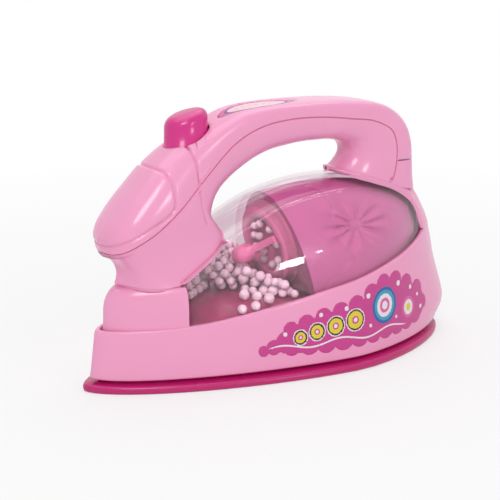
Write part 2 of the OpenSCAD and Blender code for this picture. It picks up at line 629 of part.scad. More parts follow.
// Least height of the lower shell: clear of the tongue at its foot, and of the dome in the collar
tongue_falls = [for (i = [0 : len(tongue_mid_shares) - 1])
    [tongue_mid_shares[i][0], tongue_drop_shares[i]]];
function tongue_top(x, y) =
    let (f = x / half_l, v = min(1, abs(y) / (grip_w / 2)))
    max(overall_h * (smooth_at(tongue_mid_shares, f) - smooth_at(tongue_falls, f) * v * v),
        over_dome(x, y) + tongue_t);
function lower_limit(x, y) = x < dome_front - dome_wall ? 0
    : max(dome_z(x, y) + dome_gap, x < half_l * tongue_from_share ? 0 : tongue_top(x, y) + fit);
dome_gap = 0.25;
tongue_from_share = 0.28;

handle_steps = 2;
module handle_lower() {
    rows = [for (i = [0 : tail * handle_steps]) i / handle_steps];
    color("#f5a3c7") half_shell([for (t = rows) lower_row(t, 0)], [for (t = rows) lower_row(t, wall)]);
}

module cover_shell(from) {
    rows = [for (i = [tail * handle_steps : -1 : from * handle_steps]) i / handle_steps];
    half_shell([for (t = rows) upper_row(t, 0)], [for (t = rows) upper_row(t, wall)]);
}

module handle_cover() {
    color("#f5a3c7") difference() {
        cover_shell(cover_row);
        ring_stack([oval_ring(button_gap, button_foot, false),
            oval_ring(button_gap, overall_h + over, false)]);
        ring_stack([badge_ring(fit / 2, badge_proud - badge_t - hair),
            badge_ring(fit / 2, over)], 0);
    }
}

// Gap to the cover, in rows of the handle
stub_gap = 0.07;
stub_steps = 4;
module rear_stub() {
    rows = [for (i = [stub_steps : -1 : 0]) (cover_row - stub_gap) * i / stub_steps];
    half_shell([for (t = rows) upper_row(t, 0)], [for (t = rows) upper_row(t, wall)]);
}

// Screw posts of the body, each held by ribs that run into the wall
rib_t = 1.2;
post_share = 0.14;
post_top = body_z + overall_h * post_share;
rib_foot = 3;
rib_low = body_z + rib_foot;
rib_reach_share = 0.13;
rear_rib_back_share = 0.075;
rear_rib_side_share = 0.2;
function wall_y(x) = half_at(x, rim_inset);
front_post = bosses[0];
rear_post = bosses[1];
side_post = bosses[2];
rib_ends = [[front_post, [front_post[0], wall_y(front_post[0])]],
    [front_post, [front_post[0], -wall_y(front_post[0])]],
    for (s = [-1, 1]) [[side_post[0], s * side_post[1]],
        [side_post[0], s * wall_y(side_post[0])]],
    for (s = [-1, 1]) [[side_post[0], s * side_post[1]],
        [side_post[0] - half_l * rib_reach_share,
            s * wall_y(side_post[0] - half_l * rib_reach_share)]],
    for (s = [-1, 0, 1]) [rear_post, [heel_x(rib_low) - wall / 2
        - half_l * rear_rib_back_share * abs(s), s * half_w * rear_rib_side_share]]];

module rib(a, b) {
    hull() for (p = [a, b]) translate([p[0], p[1], rib_low])
        cylinder(h = post_top - rib_low - over, r = rib_t / 2, $fn = 12);
}

module posts() {
    difference() {
        union() {
            for (p = bosses) translate([p[0], p[1], boss_top + fit])
                cylinder(h = post_top - boss_top - fit, r = post_r, $fn = 32);
            for (r = rib_ends) rib(r[0], r[1]);
        }
        for (p = bosses) translate([p[0], p[1], boss_top])
            cylinder(h = screw_l, r = screw_r + hair, $fn = 32);
    }
}

module body_shell() {
    color("#f5a3c7") union() {
        skirt();
        column();
        tongue();
        rear_stub();
        posts();
    }
}

// Fan: a tilted axis through the bulkhead, its +z points out of the ring to the toe
module on_fan_axis() {
    translate(fan_centre) rotate([0, -90 - fan_tilt, 0]) children();
}
function leaned_x(z) = fan_centre[0] - (z - fan_centre[2]) * tan(fan_tilt);

// Clear bulkhead: stands on the tray and fills the dome, leaned like the fan
bulkhead_cols = 24;
plate_gap = dome_wall + fit;
plate_rounds = 5;
function plate_edge(a, x, n = plate_rounds) =
    let (w = half_at(x, dome_inset + plate_gap))
    let (z = lerp(rim_z(x), crest_z(x) - plate_gap, abs(sin(a))))
    n == 0 ? [w * cos(a), z] : plate_edge(a, leaned_x(z), n - 1);
function on_plate(p) = [(p[1] - fan_centre[2]) / cos(fan_tilt), p[0]];

module clear_bulkhead() {
    rise = [for (i = [0 : bulkhead_cols])
        plate_edge(180 * i / bulkhead_cols, fan_centre[0])];
    low = half_at(leaned_x(tray_z), tray_inset + tray_slope);
    edge = min(rise[0][0], half_at(leaned_x(rise[0][1]), tray_inset) - fit);
    outline = [for (p = concat(rise, [[-edge, rise[0][1] - hair], [-low, tray_z + hair],
        [low, tray_z + hair], [edge, rise[0][1] - hair]])) on_plate(p)];
    color([0.95, 0.85, 0.92, 0.4]) on_fan_axis() difference() {
        translate([0, 0, -bulkhead_t]) linear_extrude(bulkhead_t) polygon(outline);
        translate([0, 0, -bulkhead_t - over])
            cylinder(h = bulkhead_t + 2 * over, r = fan_hole_r, $fn = 96);
    }
}

// Bead tray: a flat floor whose edge slopes to just under the body's rim
tray_inset = flange_inset;
tray_front = column_rear + fit;
tray_heel = 0.7;
tray_rear = leaned_x(tray_z) + bulkhead_t + tray_heel;
tray_sides = 16;
tray_lip = 0.8;
tray_dip_share = 0.055;
// The floor falls towards the column
function floor_z(x) = tray_z - overall_h * tray_dip_share
    * ease((tray_front + tray_fall - x) / tray_fall);
function tray_row(x, down) = let (side = half_at(x, tray_inset), low = floor_z(x) - down)
    [[x, -side, rim_z(x) - tray_lip - down], [x, tray_slope - side, low], [x, 0, low]];

module bead_tray() {
    places = [for (i = [0 : tray_sides]) lerp(tray_front, tray_rear, i / tray_sides)];
    color("#d03a95") half_shell([for (x = places) tray_row(x, 0)],
        [for (x = places) tray_row(x, hood_wall)]);
}

// Motor holder: the pink ring in the bulkhead, its flange behind it and the cup for the motor
holder_cup_l = 10;
holder_back = 1;
cup_wall = 1.1;
cup_r = motor_r + fit / 2 + cup_wall;
ring_proud = 0.3;
flange_out = 1;
flange_r = fan_hole_r + flange_out;
bearing_gap = 0.2;

module motor_holder() {
    ring_back = -bulkhead_t - fit;
    back = ring_back - holder_flange;
    color("#ef8fbb") on_fan_axis() difference() {
        union() {
            translate([0, 0, ring_back])
                cylinder(h = ring_proud - ring_back, r = fan_hole_r - fit, $fn = 96);
            translate([0, 0, back]) cylinder(h = holder_flange, r = flange_r, $fn = 96);
            translate([0, 0, -holder_cup_l]) cylinder(h = holder_cup_l, r = cup_r, $fn = 96);
        }
        translate([0, 0, ring_back]) cylinder(h = holder_cup_l, r = ring_bore_r, $fn = 96);
        translate([0, 0, -holder_cup_l - over])
            cylinder(h = holder_cup_l + over + back, r = motor_r + fit / 2, $fn = 96);
        translate([0, 0, -holder_cup_l])
            cylinder(h = holder_cup_l, r = shaft_r + 2 * bearing_gap, $fn = 32);
    }
}

// Motor: a steel can with its plastic end cap, and the shaft that drives the stirrer
motor_front = -bulkhead_t - fit - holder_flange - hair;
shaft_in = 9;
end_cap_l = 2.6;
terminal_l = 2.4;
terminal_w = 1.8;
terminal_t = 0.4;
terminal_place_share = 0.6;
end_boss_share = 0.33;

module motor_can() {
    color("#c9c9cc") on_fan_axis() difference() {
        translate([0, 0, motor_front - motor_l]) cylinder(h = motor_l, r = motor_r, $fn = 96);
        translate([0, 0, motor_front - shaft_in])
            cylinder(h = shaft_in + over, r = shaft_r + bearing_gap, $fn = 32);
    }
}

module motor_end_cap() {
    back = motor_front - motor_l - hair;
    color("#f2f0ea") on_fan_axis() union() {
        translate([0, 0, back - end_cap_l]) cylinder(h = end_cap_l, r = motor_r - fit, $fn = 96);
        translate([0, 0, back - end_cap_l - terminal_t])
            cylinder(h = terminal_t + hair, r = motor_r * end_boss_share, $fn = 48);
        for (s = [-1, 1]) translate([-terminal_w / 2,
            s * motor_r * terminal_place_share - terminal_t / 2, back - end_cap_l - terminal_l])
            cube([terminal_w, terminal_t, terminal_l + hair]);
    }
}

module motor_shaft() {
    color("#d7d7da") on_fan_axis() translate([0, 0, motor_front - shaft_in + bearing_gap])
        cylinder(h = shaft_in - bearing_gap - motor_front + nose_lead + nose_l / 2,
            r = shaft_r, $fn = 32);
}

// Stirrer: a round nose with slanting arms that sweep in front of the ring
arm_w = 1.9;
arm_t = 1.4;
arm_gap = 0.5;
arm_tip_in = 0.9;
arm_turn = 116;
arm_tip_r = fan_hole_r - arm_tip_in;
arm_tip_z = ring_proud + arm_gap + arm_t;
arm_root_z = nose_lead + arm_t;
module impeller() {
    run = arm_tip_r - shaft_r;
    lean = atan((arm_root_z - arm_tip_z) / run);
    color("#ee86b6") on_fan_axis() difference() {
        union() {
            translate([0, 0, nose_lead]) cylinder(h = nose_l - nose_r, r = nose_r, $fn = 64);
            translate([0, 0, nose_lead + nose_l - nose_r]) sphere(r = nose_r, $fn = 64);
            for (i = [0 : arms - 1]) rotate([0, 0, arm_turn + 360 * i / arms])
                translate([0, -arm_w / 2, arm_root_z]) rotate([0, lean, 0])
                    translate([0, 0, -arm_t]) cube([run / cos(lean), arm_w, arm_t]);
        }
        translate([0, 0, -over]) cylinder(h = over + nose_lead + nose_l / 2 + hair,
            r = shaft_r + hair, $fn = 32);
    }
}

// Foam balls: each is dropped at a random place and rests on the balls already there
bead_seed = 7;
bead_air = 0.06;
sweep_air = 0.25;
sweep_slant = 1.2;
axis_dir = [-cos(fan_tilt), 0, -sin(fan_tilt)];
heap_front_share = -0.54;
heap_rear_share = -0.005;
heap_side_share = 0.62;
// Height and near edge of the heap along the chamber, in shares of height and half width
heap_top_shares = [[-0.55, 0.5], [-0.36, 0.49], [-0.27, 0.42], [-0.15, 0.355], [0, 0.335]];
heap_edge_shares = [[-0.55, 0.42], [-0.36, 0.3], [-0.22, -0.1], [-0.12, -0.42], [0, -0.62]];
bead_x = rands(half_l * heap_front_share, half_l * heap_rear_share, bead_tries, bead_seed);
bead_y = rands(-half_w * heap_side_share, half_w * heap_side_share, bead_tries, bead_seed + 1);
bead_r = rands(bead_r_min, bead_r_max, bead_tries, bead_seed + 2);
// Height of the tray under a ball: its floor, or the slope at its side
function tray_top(x, y, r) =
    let (rim = rim_z(x) - tray_lip, low = floor_z(x), side = half_at(x, tray_inset))
    let (f = clamp01((abs(y) + (rim > low ? r : -r) - side + tray_slope) / tray_slope))
    lerp(low, rim, f);
function rest_z(x, y, r, placed) = max(concat([tray_top(x, y, r) + r + bead_air],
    [for (b = placed) let (reach = r + b[3] + bead_air, d = norm([x - b[0], y - b[1]]))
        if (d < reach) b[2] + sqrt(reach * reach - d * d)]));
// Whether a ball at the distance q from the axis is clear of the arms and of the nose
function clear_of_stirrer(s, q, r) =
    let (front = arm_root_z - q * (arm_root_z - arm_tip_z) / (arm_tip_r - shaft_r))
    (q > arm_tip_r + r + sweep_air || s > front + (r + sweep_air) * sweep_slant)
    && (q > nose_r + r + sweep_air || s > nose_lead + nose_l + r + sweep_air);
// The chamber's walls: column, bulkhead, dome or tray, and the room that the stirrer sweeps
function in_chamber(p, r) =
    let (v = p - fan_centre, s = v * axis_dir, q = norm(v - s * axis_dir), x = p[0])
    let (side = half_at(x, tray_inset) - r - fit)
    let (rise = max(0, p[2] - rim_z(x)) / (crest_z(x) - dome_wall - fit - r - rim_z(x)))
    s > r + ring_proud + fit && clear_of_stirrer(s, q, r)
    && x > column_rear + hood_wall + dome_wall + r
    && rise < 1 && abs(p[1]) < side * sqrt(1 - rise * rise)
    && p[2] < overall_h * smooth_at(heap_top_shares, x / half_l)
    && p[1] > half_w * smooth_at(heap_edge_shares, x / half_l);
function drop_beads(i, placed) = i >= bead_tries ? placed :
    let (r = bead_r[i], z = rest_z(bead_x[i], bead_y[i], r, placed), p = [bead_x[i], bead_y[i], z])
    drop_beads(i + 1, in_chamber(p, r) ? concat(placed, [concat(p, r)]) : placed);
// Three balls lie alone in front of the heap
loose_shares = [[-0.245, -0.3], [-0.21, -0.43], [-0.18, -0.56]];
loose_beads = [for (q = loose_shares) let (x = half_l * q[0], y = half_w * q[1], r = bead_r_max)
    [x, y, tray_top(x, y, r) + r + bead_air, r]];
// A few cling to the back of the ring, behind the arms, as [distance, turn] about the axis
cling_reach_share = 0.85;
cling_shares = [[0.62, 12], [0.66, 43], [0.6, 75], [0.65, 108], [0.35, 60], [0.64, 150],
    [0.66, -35], [0.62, -78], [0.36, 140], [0.63, 190], [0.64, 232]];

module foam_beads() {
    color("#fbeaf1") {
        for (b = drop_beads(0, loose_beads)) translate([b[0], b[1], b[2]]) sphere(r = b[3]);
        on_fan_axis() for (q = cling_shares) rotate([0, 0, q[1]])
            translate([fan_hole_r * q[0] * cling_reach_share, 0, bead_r_min + bead_air - bulkhead_t - fit])
                sphere(r = bead_r_min);
    }
}

// Cells, contacts and springs
cell_tip_l = 0.9;
cell_tip_r = 1.9;
contact_t = 0.4;
cell_y = cell_r + cell_gap / 2;
box_front = box_x - box_l / 2;
box_rear = box_x + box_l / 2;
cell_spring_l = box_l - cell_l - cell_tip_l - 2 * contact_t - 4 * hair - fit;

module cell(x, y, way) {
    translate([x, y, cell_z]) rotate([0, 90 * way, 0]) {
        cylinder(h = cell_l, r = cell_r, $fn = 96);
        cylinder(h = cell_l + cell_tip_l, r = cell_tip_r, $fn = 48);
    }
}

module batteries() {
    start = contact_t + 2 * hair + cell_spring_l + fit;
    color("#3d8f5a") union() {
        cell(box_front + start, -cell_y, 1);
        cell(box_rear - start, cell_y, -1);
    }
}

contact_margin = 0.5;
module battery_contacts() {
    side = 2 * (cell_r - contact_margin);
    color("#c8ccd0") for (x = [box_front + hair, box_rear - hair - contact_t]) {
        translate([x, -cell_y - side / 2, cell_z - side / 2])
            cube([contact_t, 2 * cell_y + side, side]);
    }
}

// Wire wound into a coil that rises along +z from its foot to its top
wire_sides = 6;
wire_steps = 8;
function coil_ring(r, wire, pitch, turn) =
    let (lean = atan(pitch / (2 * PI * r)))
    [for (k = [0 : wire_sides - 1]) let (a = 360 * k / wire_sides)
        let (c = wire / 2 * cos(a), s = wire / 2 * sin(a))
        [(r + c) * cos(360 * turn) + s * sin(lean) * sin(360 * turn),
            (r + c) * sin(360 * turn) - s * sin(lean) * cos(360 * turn),
            pitch * turn + wire / 2 + s * cos(lean)]];
module coil(r, wire, length, turns) {
    pitch = (length - wire) / turns;
    ring_stack([for (i = [turns * wire_steps : -1 : 0]) coil_ring(r, wire, pitch, i / wire_steps)]);
}

cell_spring_r_share = 0.6;
cell_spring_turns = 3;
module battery_springs() {
    color("#d0d3d6") {
        translate([box_front + contact_t + 2 * hair, -cell_y, cell_z]) rotate([0, 90, 0])
            coil(cell_r * cell_spring_r_share, spring_wire, cell_spring_l, cell_spring_turns);
        translate([box_rear - contact_t - 2 * hair, cell_y, cell_z]) rotate([0, -90, 0])
            coil(cell_r * cell_spring_r_share, spring_wire, cell_spring_l, cell_spring_turns);
    }
}

// Push button in the handle's crown, over its spring and switch
button_x_share = -0.47;
button_x = half_l * button_x_share;
button_slope = 14;
button_top_r = 2.4;
button_taper = 0.2;
button_wall = 1.3;
board_z_share = 0.705;
board_z = overall_h * board_z_share;
board_t = 1.2;
board_l = 12;
board_w = 10;
board_back_share = 0.22;
board_x = button_x - board_l * board_back_share;
board_top = board_z + board_t;
switch_w = 4;
switch_h = 3;
plunger_h = 0.5;
button_foot_share = 0.792;
button_foot = overall_h * button_foot_share;
button_flange_h = 1.1;
button_flange = 0.8;
button_shelf_share = 0.875;
button_shelf = overall_h * button_shelf_share;
stem_r = 1.3;
oval_sides = 32;
function oval_ring(grow, z, tilt) = [for (i = [0 : oval_sides - 1]) let (a = 360 * i / oval_sides)
    let (x = (button_l / 2 + grow) * cos(a))
    [button_x + x, (button_w / 2 + grow) * sin(a),
        z + (tilt ? (x - button_l / 2 + button_top_r) * tan(button_slope) : 0)]];

module push_button() {
    top = overall_h;
    color("#d3309a") difference() {
        ring_stack([oval_ring(button_flange, button_foot, false),
            oval_ring(button_flange, button_foot + button_flange_h, false),
            oval_ring(0, button_foot + button_flange_h, false),
            for (a = [0 : 18 : 90]) oval_ring(-button_taper - button_top_r * (1 - cos(a)),
                top - button_top_r * (1 - sin(a)), true)]);
        difference() {
            ring_stack([oval_ring(-button_wall, button_foot - over, false),
                oval_ring(-button_wall, button_shelf, false)]);
            translate([button_x, 0, board_top + switch_h + plunger_h + button_travel + fit])
                cylinder(h = overall_h, r = stem_r, $fn = 32);
        }
    }
}

module button_spring() {
    color("#c9cdd2") translate([button_x, 0, board_top + hair])
        coil(spring_mean_r, spring_wire, button_shelf - board_top - 2 * hair, spring_turns);
}
spring_air = 0.15;
spring_mean_r = button_w / 2 - button_wall - fit - spring_wire / 2 - spring_air;

module switch_board() {
    color("#c58b4a") translate([board_x - board_l / 2, -board_w / 2, board_z])
        cube([board_l, board_w, board_t]);
}

module push_switch() {
    color("#2c2c30") union() {
        translate([button_x - switch_w / 2, -switch_w / 2, board_top + hair])
            cube([switch_w, switch_w, switch_h]);
        translate([button_x, 0, board_top + switch_h])
            cylinder(h = plunger_h + hair, r = stem_r, $fn = 32);
    }
}

// Oval badge in a recess on the crown
badge_x_share = -0.105;
badge_x = half_l * badge_x_share;
badge_sides = 40;
badge_l = 24;
badge_w = 8.4;
badge_t = 1;
badge_proud = 0.25;
badge_edge_share = 0.25;
crown_rows = [for (i = [17 : -1 : 7]) crown_shares[i]];
function crown_z(x) = overall_h * smooth_at(crown_rows, x / half_l);
function badge_ring(grow, lift) = [for (i = [0 : badge_sides - 1]) let (a = 360 * i / badge_sides)
    let (x = badge_x + (badge_l / 2 + grow) * cos(a))
    [x, (badge_w / 2 + grow) * sin(a), crown_z(x) + lift]];

module handle_badge() {
    edge = badge_t * badge_edge_share;
    color("#f8c8dc") ring_stack([badge_ring(0, badge_proud - badge_t),
        badge_ring(0, badge_proud - edge), badge_ring(-edge, badge_proud)], 0);
}

sole_plate();
battery_door();
battery_door_screw();
housing_screws();
body_shell();
handle_lower();
handle_cover();
handle_badge();
clear_dome();
clear_bulkhead();
bead_tray();
inner_hood();
motor_holder();
motor_can();
motor_end_cap();
motor_shaft();
impeller();
foam_beads();
batteries();
battery_contacts();
battery_springs();
push_button();
button_spring();
switch_board();
push_switch();
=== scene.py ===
import bmesh
import bpy
import numpy
import random
from math import atan2, cos, exp, hypot, pi, radians, sin, sqrt, tan
from mathutils import Matrix, Vector
from mathutils.bvhtree import BVHTree
from mathutils.kdtree import KDTree


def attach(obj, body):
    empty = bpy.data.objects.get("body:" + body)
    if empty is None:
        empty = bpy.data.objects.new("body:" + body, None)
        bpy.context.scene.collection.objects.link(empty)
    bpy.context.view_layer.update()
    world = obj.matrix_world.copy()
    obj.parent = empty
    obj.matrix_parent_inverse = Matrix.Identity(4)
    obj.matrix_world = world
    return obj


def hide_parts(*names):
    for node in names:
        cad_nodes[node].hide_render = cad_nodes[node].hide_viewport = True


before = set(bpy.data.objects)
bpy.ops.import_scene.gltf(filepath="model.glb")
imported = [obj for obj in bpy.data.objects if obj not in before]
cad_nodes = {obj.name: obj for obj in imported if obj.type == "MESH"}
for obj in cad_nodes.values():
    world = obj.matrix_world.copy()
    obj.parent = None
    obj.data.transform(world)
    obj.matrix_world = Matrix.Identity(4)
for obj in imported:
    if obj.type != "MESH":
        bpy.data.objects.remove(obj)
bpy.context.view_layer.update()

# Sole plate
# One flat moulding of magenta ABS that the toy stands on. It is injection moulded with a
# rounded edge, carries the battery box, and is screwed up into the body's posts.
mm = 0.001
# The two colour inputs of a Mix node
MIX_A, MIX_B = 6, 7


def colour(hex_value):
    """Linear RGBA of an sRGB hex value."""
    parts = [int(hex_value[i:i + 2], 16) / 255 for i in (1, 3, 5)]
    linear = [c / 12.92 if c <= 0.04045 else ((c + 0.055) / 1.055) ** 2.4 for c in parts]
    return (*linear, 1.0)


def add_node(owner, kind, inputs=None, **settings):
    """Adds a shader node. An input's value is a constant, a hex colour, the socket that feeds
    it, or a node that feeds it from its first output in use."""
    node = owner.node_tree.nodes.new("ShaderNode" + kind)
    for name, value in settings.items():
        setattr(node, name, value)
    for name, value in (inputs or {}).items():
        if isinstance(value, str):
            value = colour(value)
        if isinstance(value, bpy.types.Node):
            value = next(output for output in value.outputs if output.enabled)
        if isinstance(value, bpy.types.NodeSocket):
            owner.node_tree.links.new(value, node.inputs[name])
        else:
            node.inputs[name].default_value = value
    return node


def new_material(name):
    """An empty material, and the socket that gives a point's place on its piece."""
    material = bpy.data.materials.new(name)
    material.use_nodes = True
    material.node_tree.nodes.clear()
    return material, add_node(material, "TexCoord").outputs["Object"]


def moulded_plastic(name, base, deep, roughness, peel=0.03):
    """Injection moulded plastic: the colour drifts a little with the flow of the melt, and the
    polished mould leaves a faint waviness that makes the highlights run unevenly."""
    flow_mm, wave_mm = 35, 5
    material, place = new_material(name)
    flow = add_node(material, "TexNoise",
                    {"Vector": place, "Scale": 1000 / flow_mm, "Detail": 3.0})
    tint = add_node(material, "Mix", {"Factor": flow, MIX_A: base, MIX_B: deep},
                    data_type="RGBA")
    wave = add_node(material, "TexNoise",
                    {"Vector": place, "Scale": 1000 / wave_mm, "Detail": 1.0})
    rough = add_node(material, "MapRange",
                     {"Value": flow, "From Min": 0.3, "From Max": 0.7,
                      "To Min": roughness * 0.88, "To Max": roughness * 1.14})
    bump = add_node(material, "Bump", {"Height": wave, "Strength": peel, "Distance": mm})
    shader = add_node(material, "BsdfPrincipled",
                      {"Base Color": tint, "Roughness": rough, "Normal": bump, "IOR": 1.53})
    add_node(material, "OutputMaterial", {"Surface": shader})
    return material


def dress(node, material):
    """Gives a CAD node that stays its material."""
    mesh = cad_nodes[node].data
    mesh.materials.clear()
    mesh.materials.append(material)


def add_object(name, data):
    made = bpy.data.objects.new(name, data)
    bpy.context.scene.collection.objects.link(made)
    return made


def add_piece(name, bm, material, replaced, sharp=32, body="housing"):
    """Puts a finished mesh into the scene as a piece that rides on a CAD body."""
    mesh = bpy.data.meshes.new(name)
    bm.to_mesh(mesh)
    bm.free()
    mesh.materials.append(material)
    for polygon in mesh.polygons:
        polygon.use_smooth = True
    mesh.set_sharp_from_angle(angle=radians(sharp))
    piece = add_object(name, mesh)
    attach(piece, body)
    if replaced:
        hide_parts(*replaced)
    return piece


def merged_copy(node):
    """A mesh of a CAD node whose loose triangles are joined, so that it can be shaded smooth."""
    bm = bmesh.new()
    bm.from_mesh(cad_nodes[node].data)
    bmesh.ops.remove_doubles(bm, verts=bm.verts, dist=0.002 * mm)
    bmesh.ops.dissolve_degenerate(bm, edges=bm.edges, dist=0.001 * mm)
    return bm


magenta_abs = moulded_plastic("magenta_abs", "#c4146f", "#bb1069", 0.28)
add_piece("sole", merged_copy("sole_plate"), magenta_abs, ["sole_plate"])

# Battery door and screws
# The door is a thin magenta ABS plate that drops into the sole, held by one small screw.
# Four zinc-plated screws hold the sole to the body's posts; their heads lie deep in wells.
dress("battery_door", magenta_abs)

zinc_steel, place = new_material("zinc_plated_steel")
spangle = add_node(zinc_steel, "TexVoronoi", {"Vector": place, "Scale": 1000 / 0.5})
tone = add_node(zinc_steel, "Mix", {"Factor": spangle, MIX_A: "#b9bcc0", MIX_B: "#a3a7ad"},
                data_type="RGBA")
shader = add_node(zinc_steel, "BsdfPrincipled",
                  {"Base Color": tone, "Metallic": 1.0, "Roughness": 0.34})
add_node(zinc_steel, "OutputMaterial", {"Surface": shader})
dress("battery_door_screw", zinc_steel)
dress("housing_screws", zinc_steel)

# Cells, contacts and springs
# Two AAA cells in printed PVC sleeves lie side by side in the box. Pressed nickel-plated
# plates and wound steel springs make the circuit at their ends.
sleeve_band_x = 22 * mm
cell_sleeve, place = new_material("pvc_cell_sleeve")
axes = add_node(cell_sleeve, "SeparateXYZ", {"Vector": place})
band = add_node(cell_sleeve, "Math", {0: axes, 1: sleeve_band_x}, operation="GREATER_THAN")
print_tone = add_node(cell_sleeve, "Mix", {"Factor": band, MIX_A: "#2f7d4f", MIX_B: "#d9b24a"},
                      data_type="RGBA")
shader = add_node(cell_sleeve, "BsdfPrincipled",
                  {"Base Color": print_tone, "Roughness": 0.28, "IOR": 1.53})
add_node(cell_sleeve, "OutputMaterial", {"Surface": shader})
dress("batteries", cell_sleeve)

nickel_plate, place = new_material("nickel_plated_steel")
rolled = add_node(nickel_plate, "Mapping", {"Vector": place, "Scale": (1.0, 1.0, 12.0)})
lines = add_node(nickel_plate, "TexNoise", {"Vector": rolled, "Scale": 1000 / 1.2})
sheen = add_node(nickel_plate, "MapRange", {"Value": lines, "To Min": 0.18, "To Max": 0.34})
shader = add_node(nickel_plate, "BsdfPrincipled",
                  {"Base Color": "#cfcac0", "Metallic": 1.0, "Roughness": sheen})
add_node(nickel_plate, "OutputMaterial", {"Surface": shader})
dress("battery_contacts", nickel_plate)
dress("battery_springs", nickel_plate)
dress("button_spring", nickel_plate)

# Body
# The pink ABS shell, one moulding with every outer edge rounded over: a skirt that leans in
# towards its rim, the toe column under the head, and the tongue that runs back over the window
# into the foot of the handle.
half_l, half_w, overall_h = 0.06, 0.025, 0.073
# Where the plan is widest, and where it begins to follow the heel's profile
widest_x, heel_from = 0.216 * half_l, 0.3 * half_l
foot_inset, rim_inset, body_z = 2.2 * mm, 4 * mm, 3.3 * mm
body_wall, edge_r, lead_in = 1.7 * mm, 0.65 * mm, 0.3 * mm
# The rim's height along the toy and the heel's reach at each height, as shares of the sizes
rim_curve = [(-0.9, 0.2247), (-0.6, 0.2342), (-0.417, 0.2493), (-0.15, 0.285), (0.033, 0.312),
             (0.333, 0.3548), (0.55, 0.3918), (0.667, 0.4192), (0.8, 0.4562), (0.93, 0.5)]
heel_curve = [(0.044, 0.933), (0.068, 0.967), (0.123, 1), (0.178, 0.987), (0.247, 0.957),
              (0.329, 0.923), (0.397, 0.905), (0.479, 0.868), (0.548, 0.819), (0.603, 0.781)]


def clamped(share):
    return min(1, max(0, share))


def smooth(table, x):
    """Height at x of a smooth curve through a table of (place, height)."""
    i = 0
    while i < len(table) - 2 and x >= table[i + 1][0]:
        i += 1
    (a, p), (b, q) = table[i], table[i + 1]

    def lean(k):
        (c, r), (d, s) = table[max(k - 1, 0)], table[min(k + 1, len(table) - 1)]
        return (s - r) / (d - c) * (b - a)
    t = clamped((x - a) / (b - a))
    return (p * (1 + 2 * t) * (1 - t) ** 2 + lean(i) * t * (1 - t) ** 2
            + q * t * t * (3 - 2 * t) + lean(i + 1) * t * t * (t - 1))


def toe_at(inset):
    return -half_l + inset * 0.95


def heel_at(inset):
    return half_l - 2.8 * mm - inset


def half_at(x, inset):
    """Half the width of the plan at x, drawn in by inset."""
    if x < widest_x:
        f, bow, full = (widest_x - x) / (widest_x - toe_at(inset)), 1.64, 1.58
    else:
        f, bow, full = (x - widest_x) / (heel_at(inset) - widest_x), 1.58, 1.5
    return (half_w - inset) * max(0, 1 - min(1, f) ** bow) ** (1 / full)


def rim_z(x):
    return overall_h * smooth(rim_curve, x / half_l)


def heel_x(z):
    return half_l * smooth(heel_curve, z / overall_h)


def drape(bm, rows, closed=False):
    """Extrudes a chain of edges from each row of points to the next."""
    def pairs():
        return zip(verts, verts[1:] + (verts[:1] if closed else []))
    verts = [bm.verts.new(p) for p in rows[0]]
    edges = [bm.edges.new(pair) for pair in pairs()]
    for row in rows[1:]:
        made = bmesh.ops.extrude_edge_only(bm, edges=edges)["geom"]
        fresh = {g for g in made if isinstance(g, bmesh.types.BMVert)}
        verts = [next(e.other_vert(v) for e in v.link_edges if e.other_vert(v) in fresh)
                 for v in verts]
        edges = [bm.edges.get(pair) for pair in pairs()]
        for vert, point in zip(verts, row):
            vert.co = point
    return bm


def both_sides(bm):
    """Mirrors the near half, joins it in the middle plane and turns the faces outwards."""
    half, gap = bm.verts[:] + bm.edges[:] + bm.faces[:], 0.02 * mm
    bmesh.ops.mirror(bm, geom=half, matrix=Matrix.Identity(4), merge_dist=gap, axis="Y")
    bmesh.ops.remove_doubles(bm, verts=bm.verts, dist=gap)
    bmesh.ops.recalc_face_normals(bm, faces=bm.faces)
    return bm


def in_middle(row):
    """A row's points, moved onto the middle plane."""
    return [Vector((p.x, 0, p.z)) for p in row]


def near_heel(x, inset):
    return clamped((x - heel_from) / (heel_at(inset) - heel_from))


def skirt_point(x, share, inset, depth=0.0, drop=0.0):
    """Point of the skirt's near side at a share of its height, drawn to the heel's profile."""
    z = body_z + (rim_z(x) - body_z) * share - drop
    g = near_heel(x, inset)
    return Vector((x + (heel_x(z) - depth - heel_at(inset)) * g * g, -half_at(x, inset), z))


def skirt_row(share, inset, depth=0.0, drop=0.0, count=110):
    toe, heel = toe_at(inset), heel_at(inset)
    places = [toe + (heel - toe) * (1 - cos(pi * i / count)) / 2
              for i in range(count + 1)]
    row = [skirt_point(x, share, inset, depth, drop) for x in places]
    row[0].y = row[-1].y = 0
    return row


def skirt_inset(share):
    return foot_inset + (rim_inset - foot_inset) * share


quarter = [radians(a) for a in (0, 18, 36, 54, 72, 90)]
skirt_rows = [skirt_row(0, foot_inset + edge_r * (1 - sin(a)), 0,
                        -edge_r * (1 - cos(a))) for a in quarter]
skirt_rows += [skirt_row(share / 14, skirt_inset(share / 14)) for share in range(2, 14)]
skirt_rows += [skirt_row(1, rim_inset + edge_r * (1 - cos(a)), edge_r * (1 - cos(a)),
                         edge_r * (1 - sin(a))) for a in quarter]
skirt_rows += [skirt_row(1, rim_inset + body_wall - lead_in, body_wall - lead_in),
               skirt_row(1, rim_inset + body_wall, body_wall, lead_in)]
skirt_rows += [skirt_row(share, skirt_inset(share) + body_wall, body_wall)
               for share in (0.8, 0.5, 0.2, 0)]
body_mesh = drape(bmesh.new(), skirt_rows + skirt_rows[:1])

column_rear, column_front, column_top = -0.577 * half_l, -0.893 * half_l, 27.6 * mm


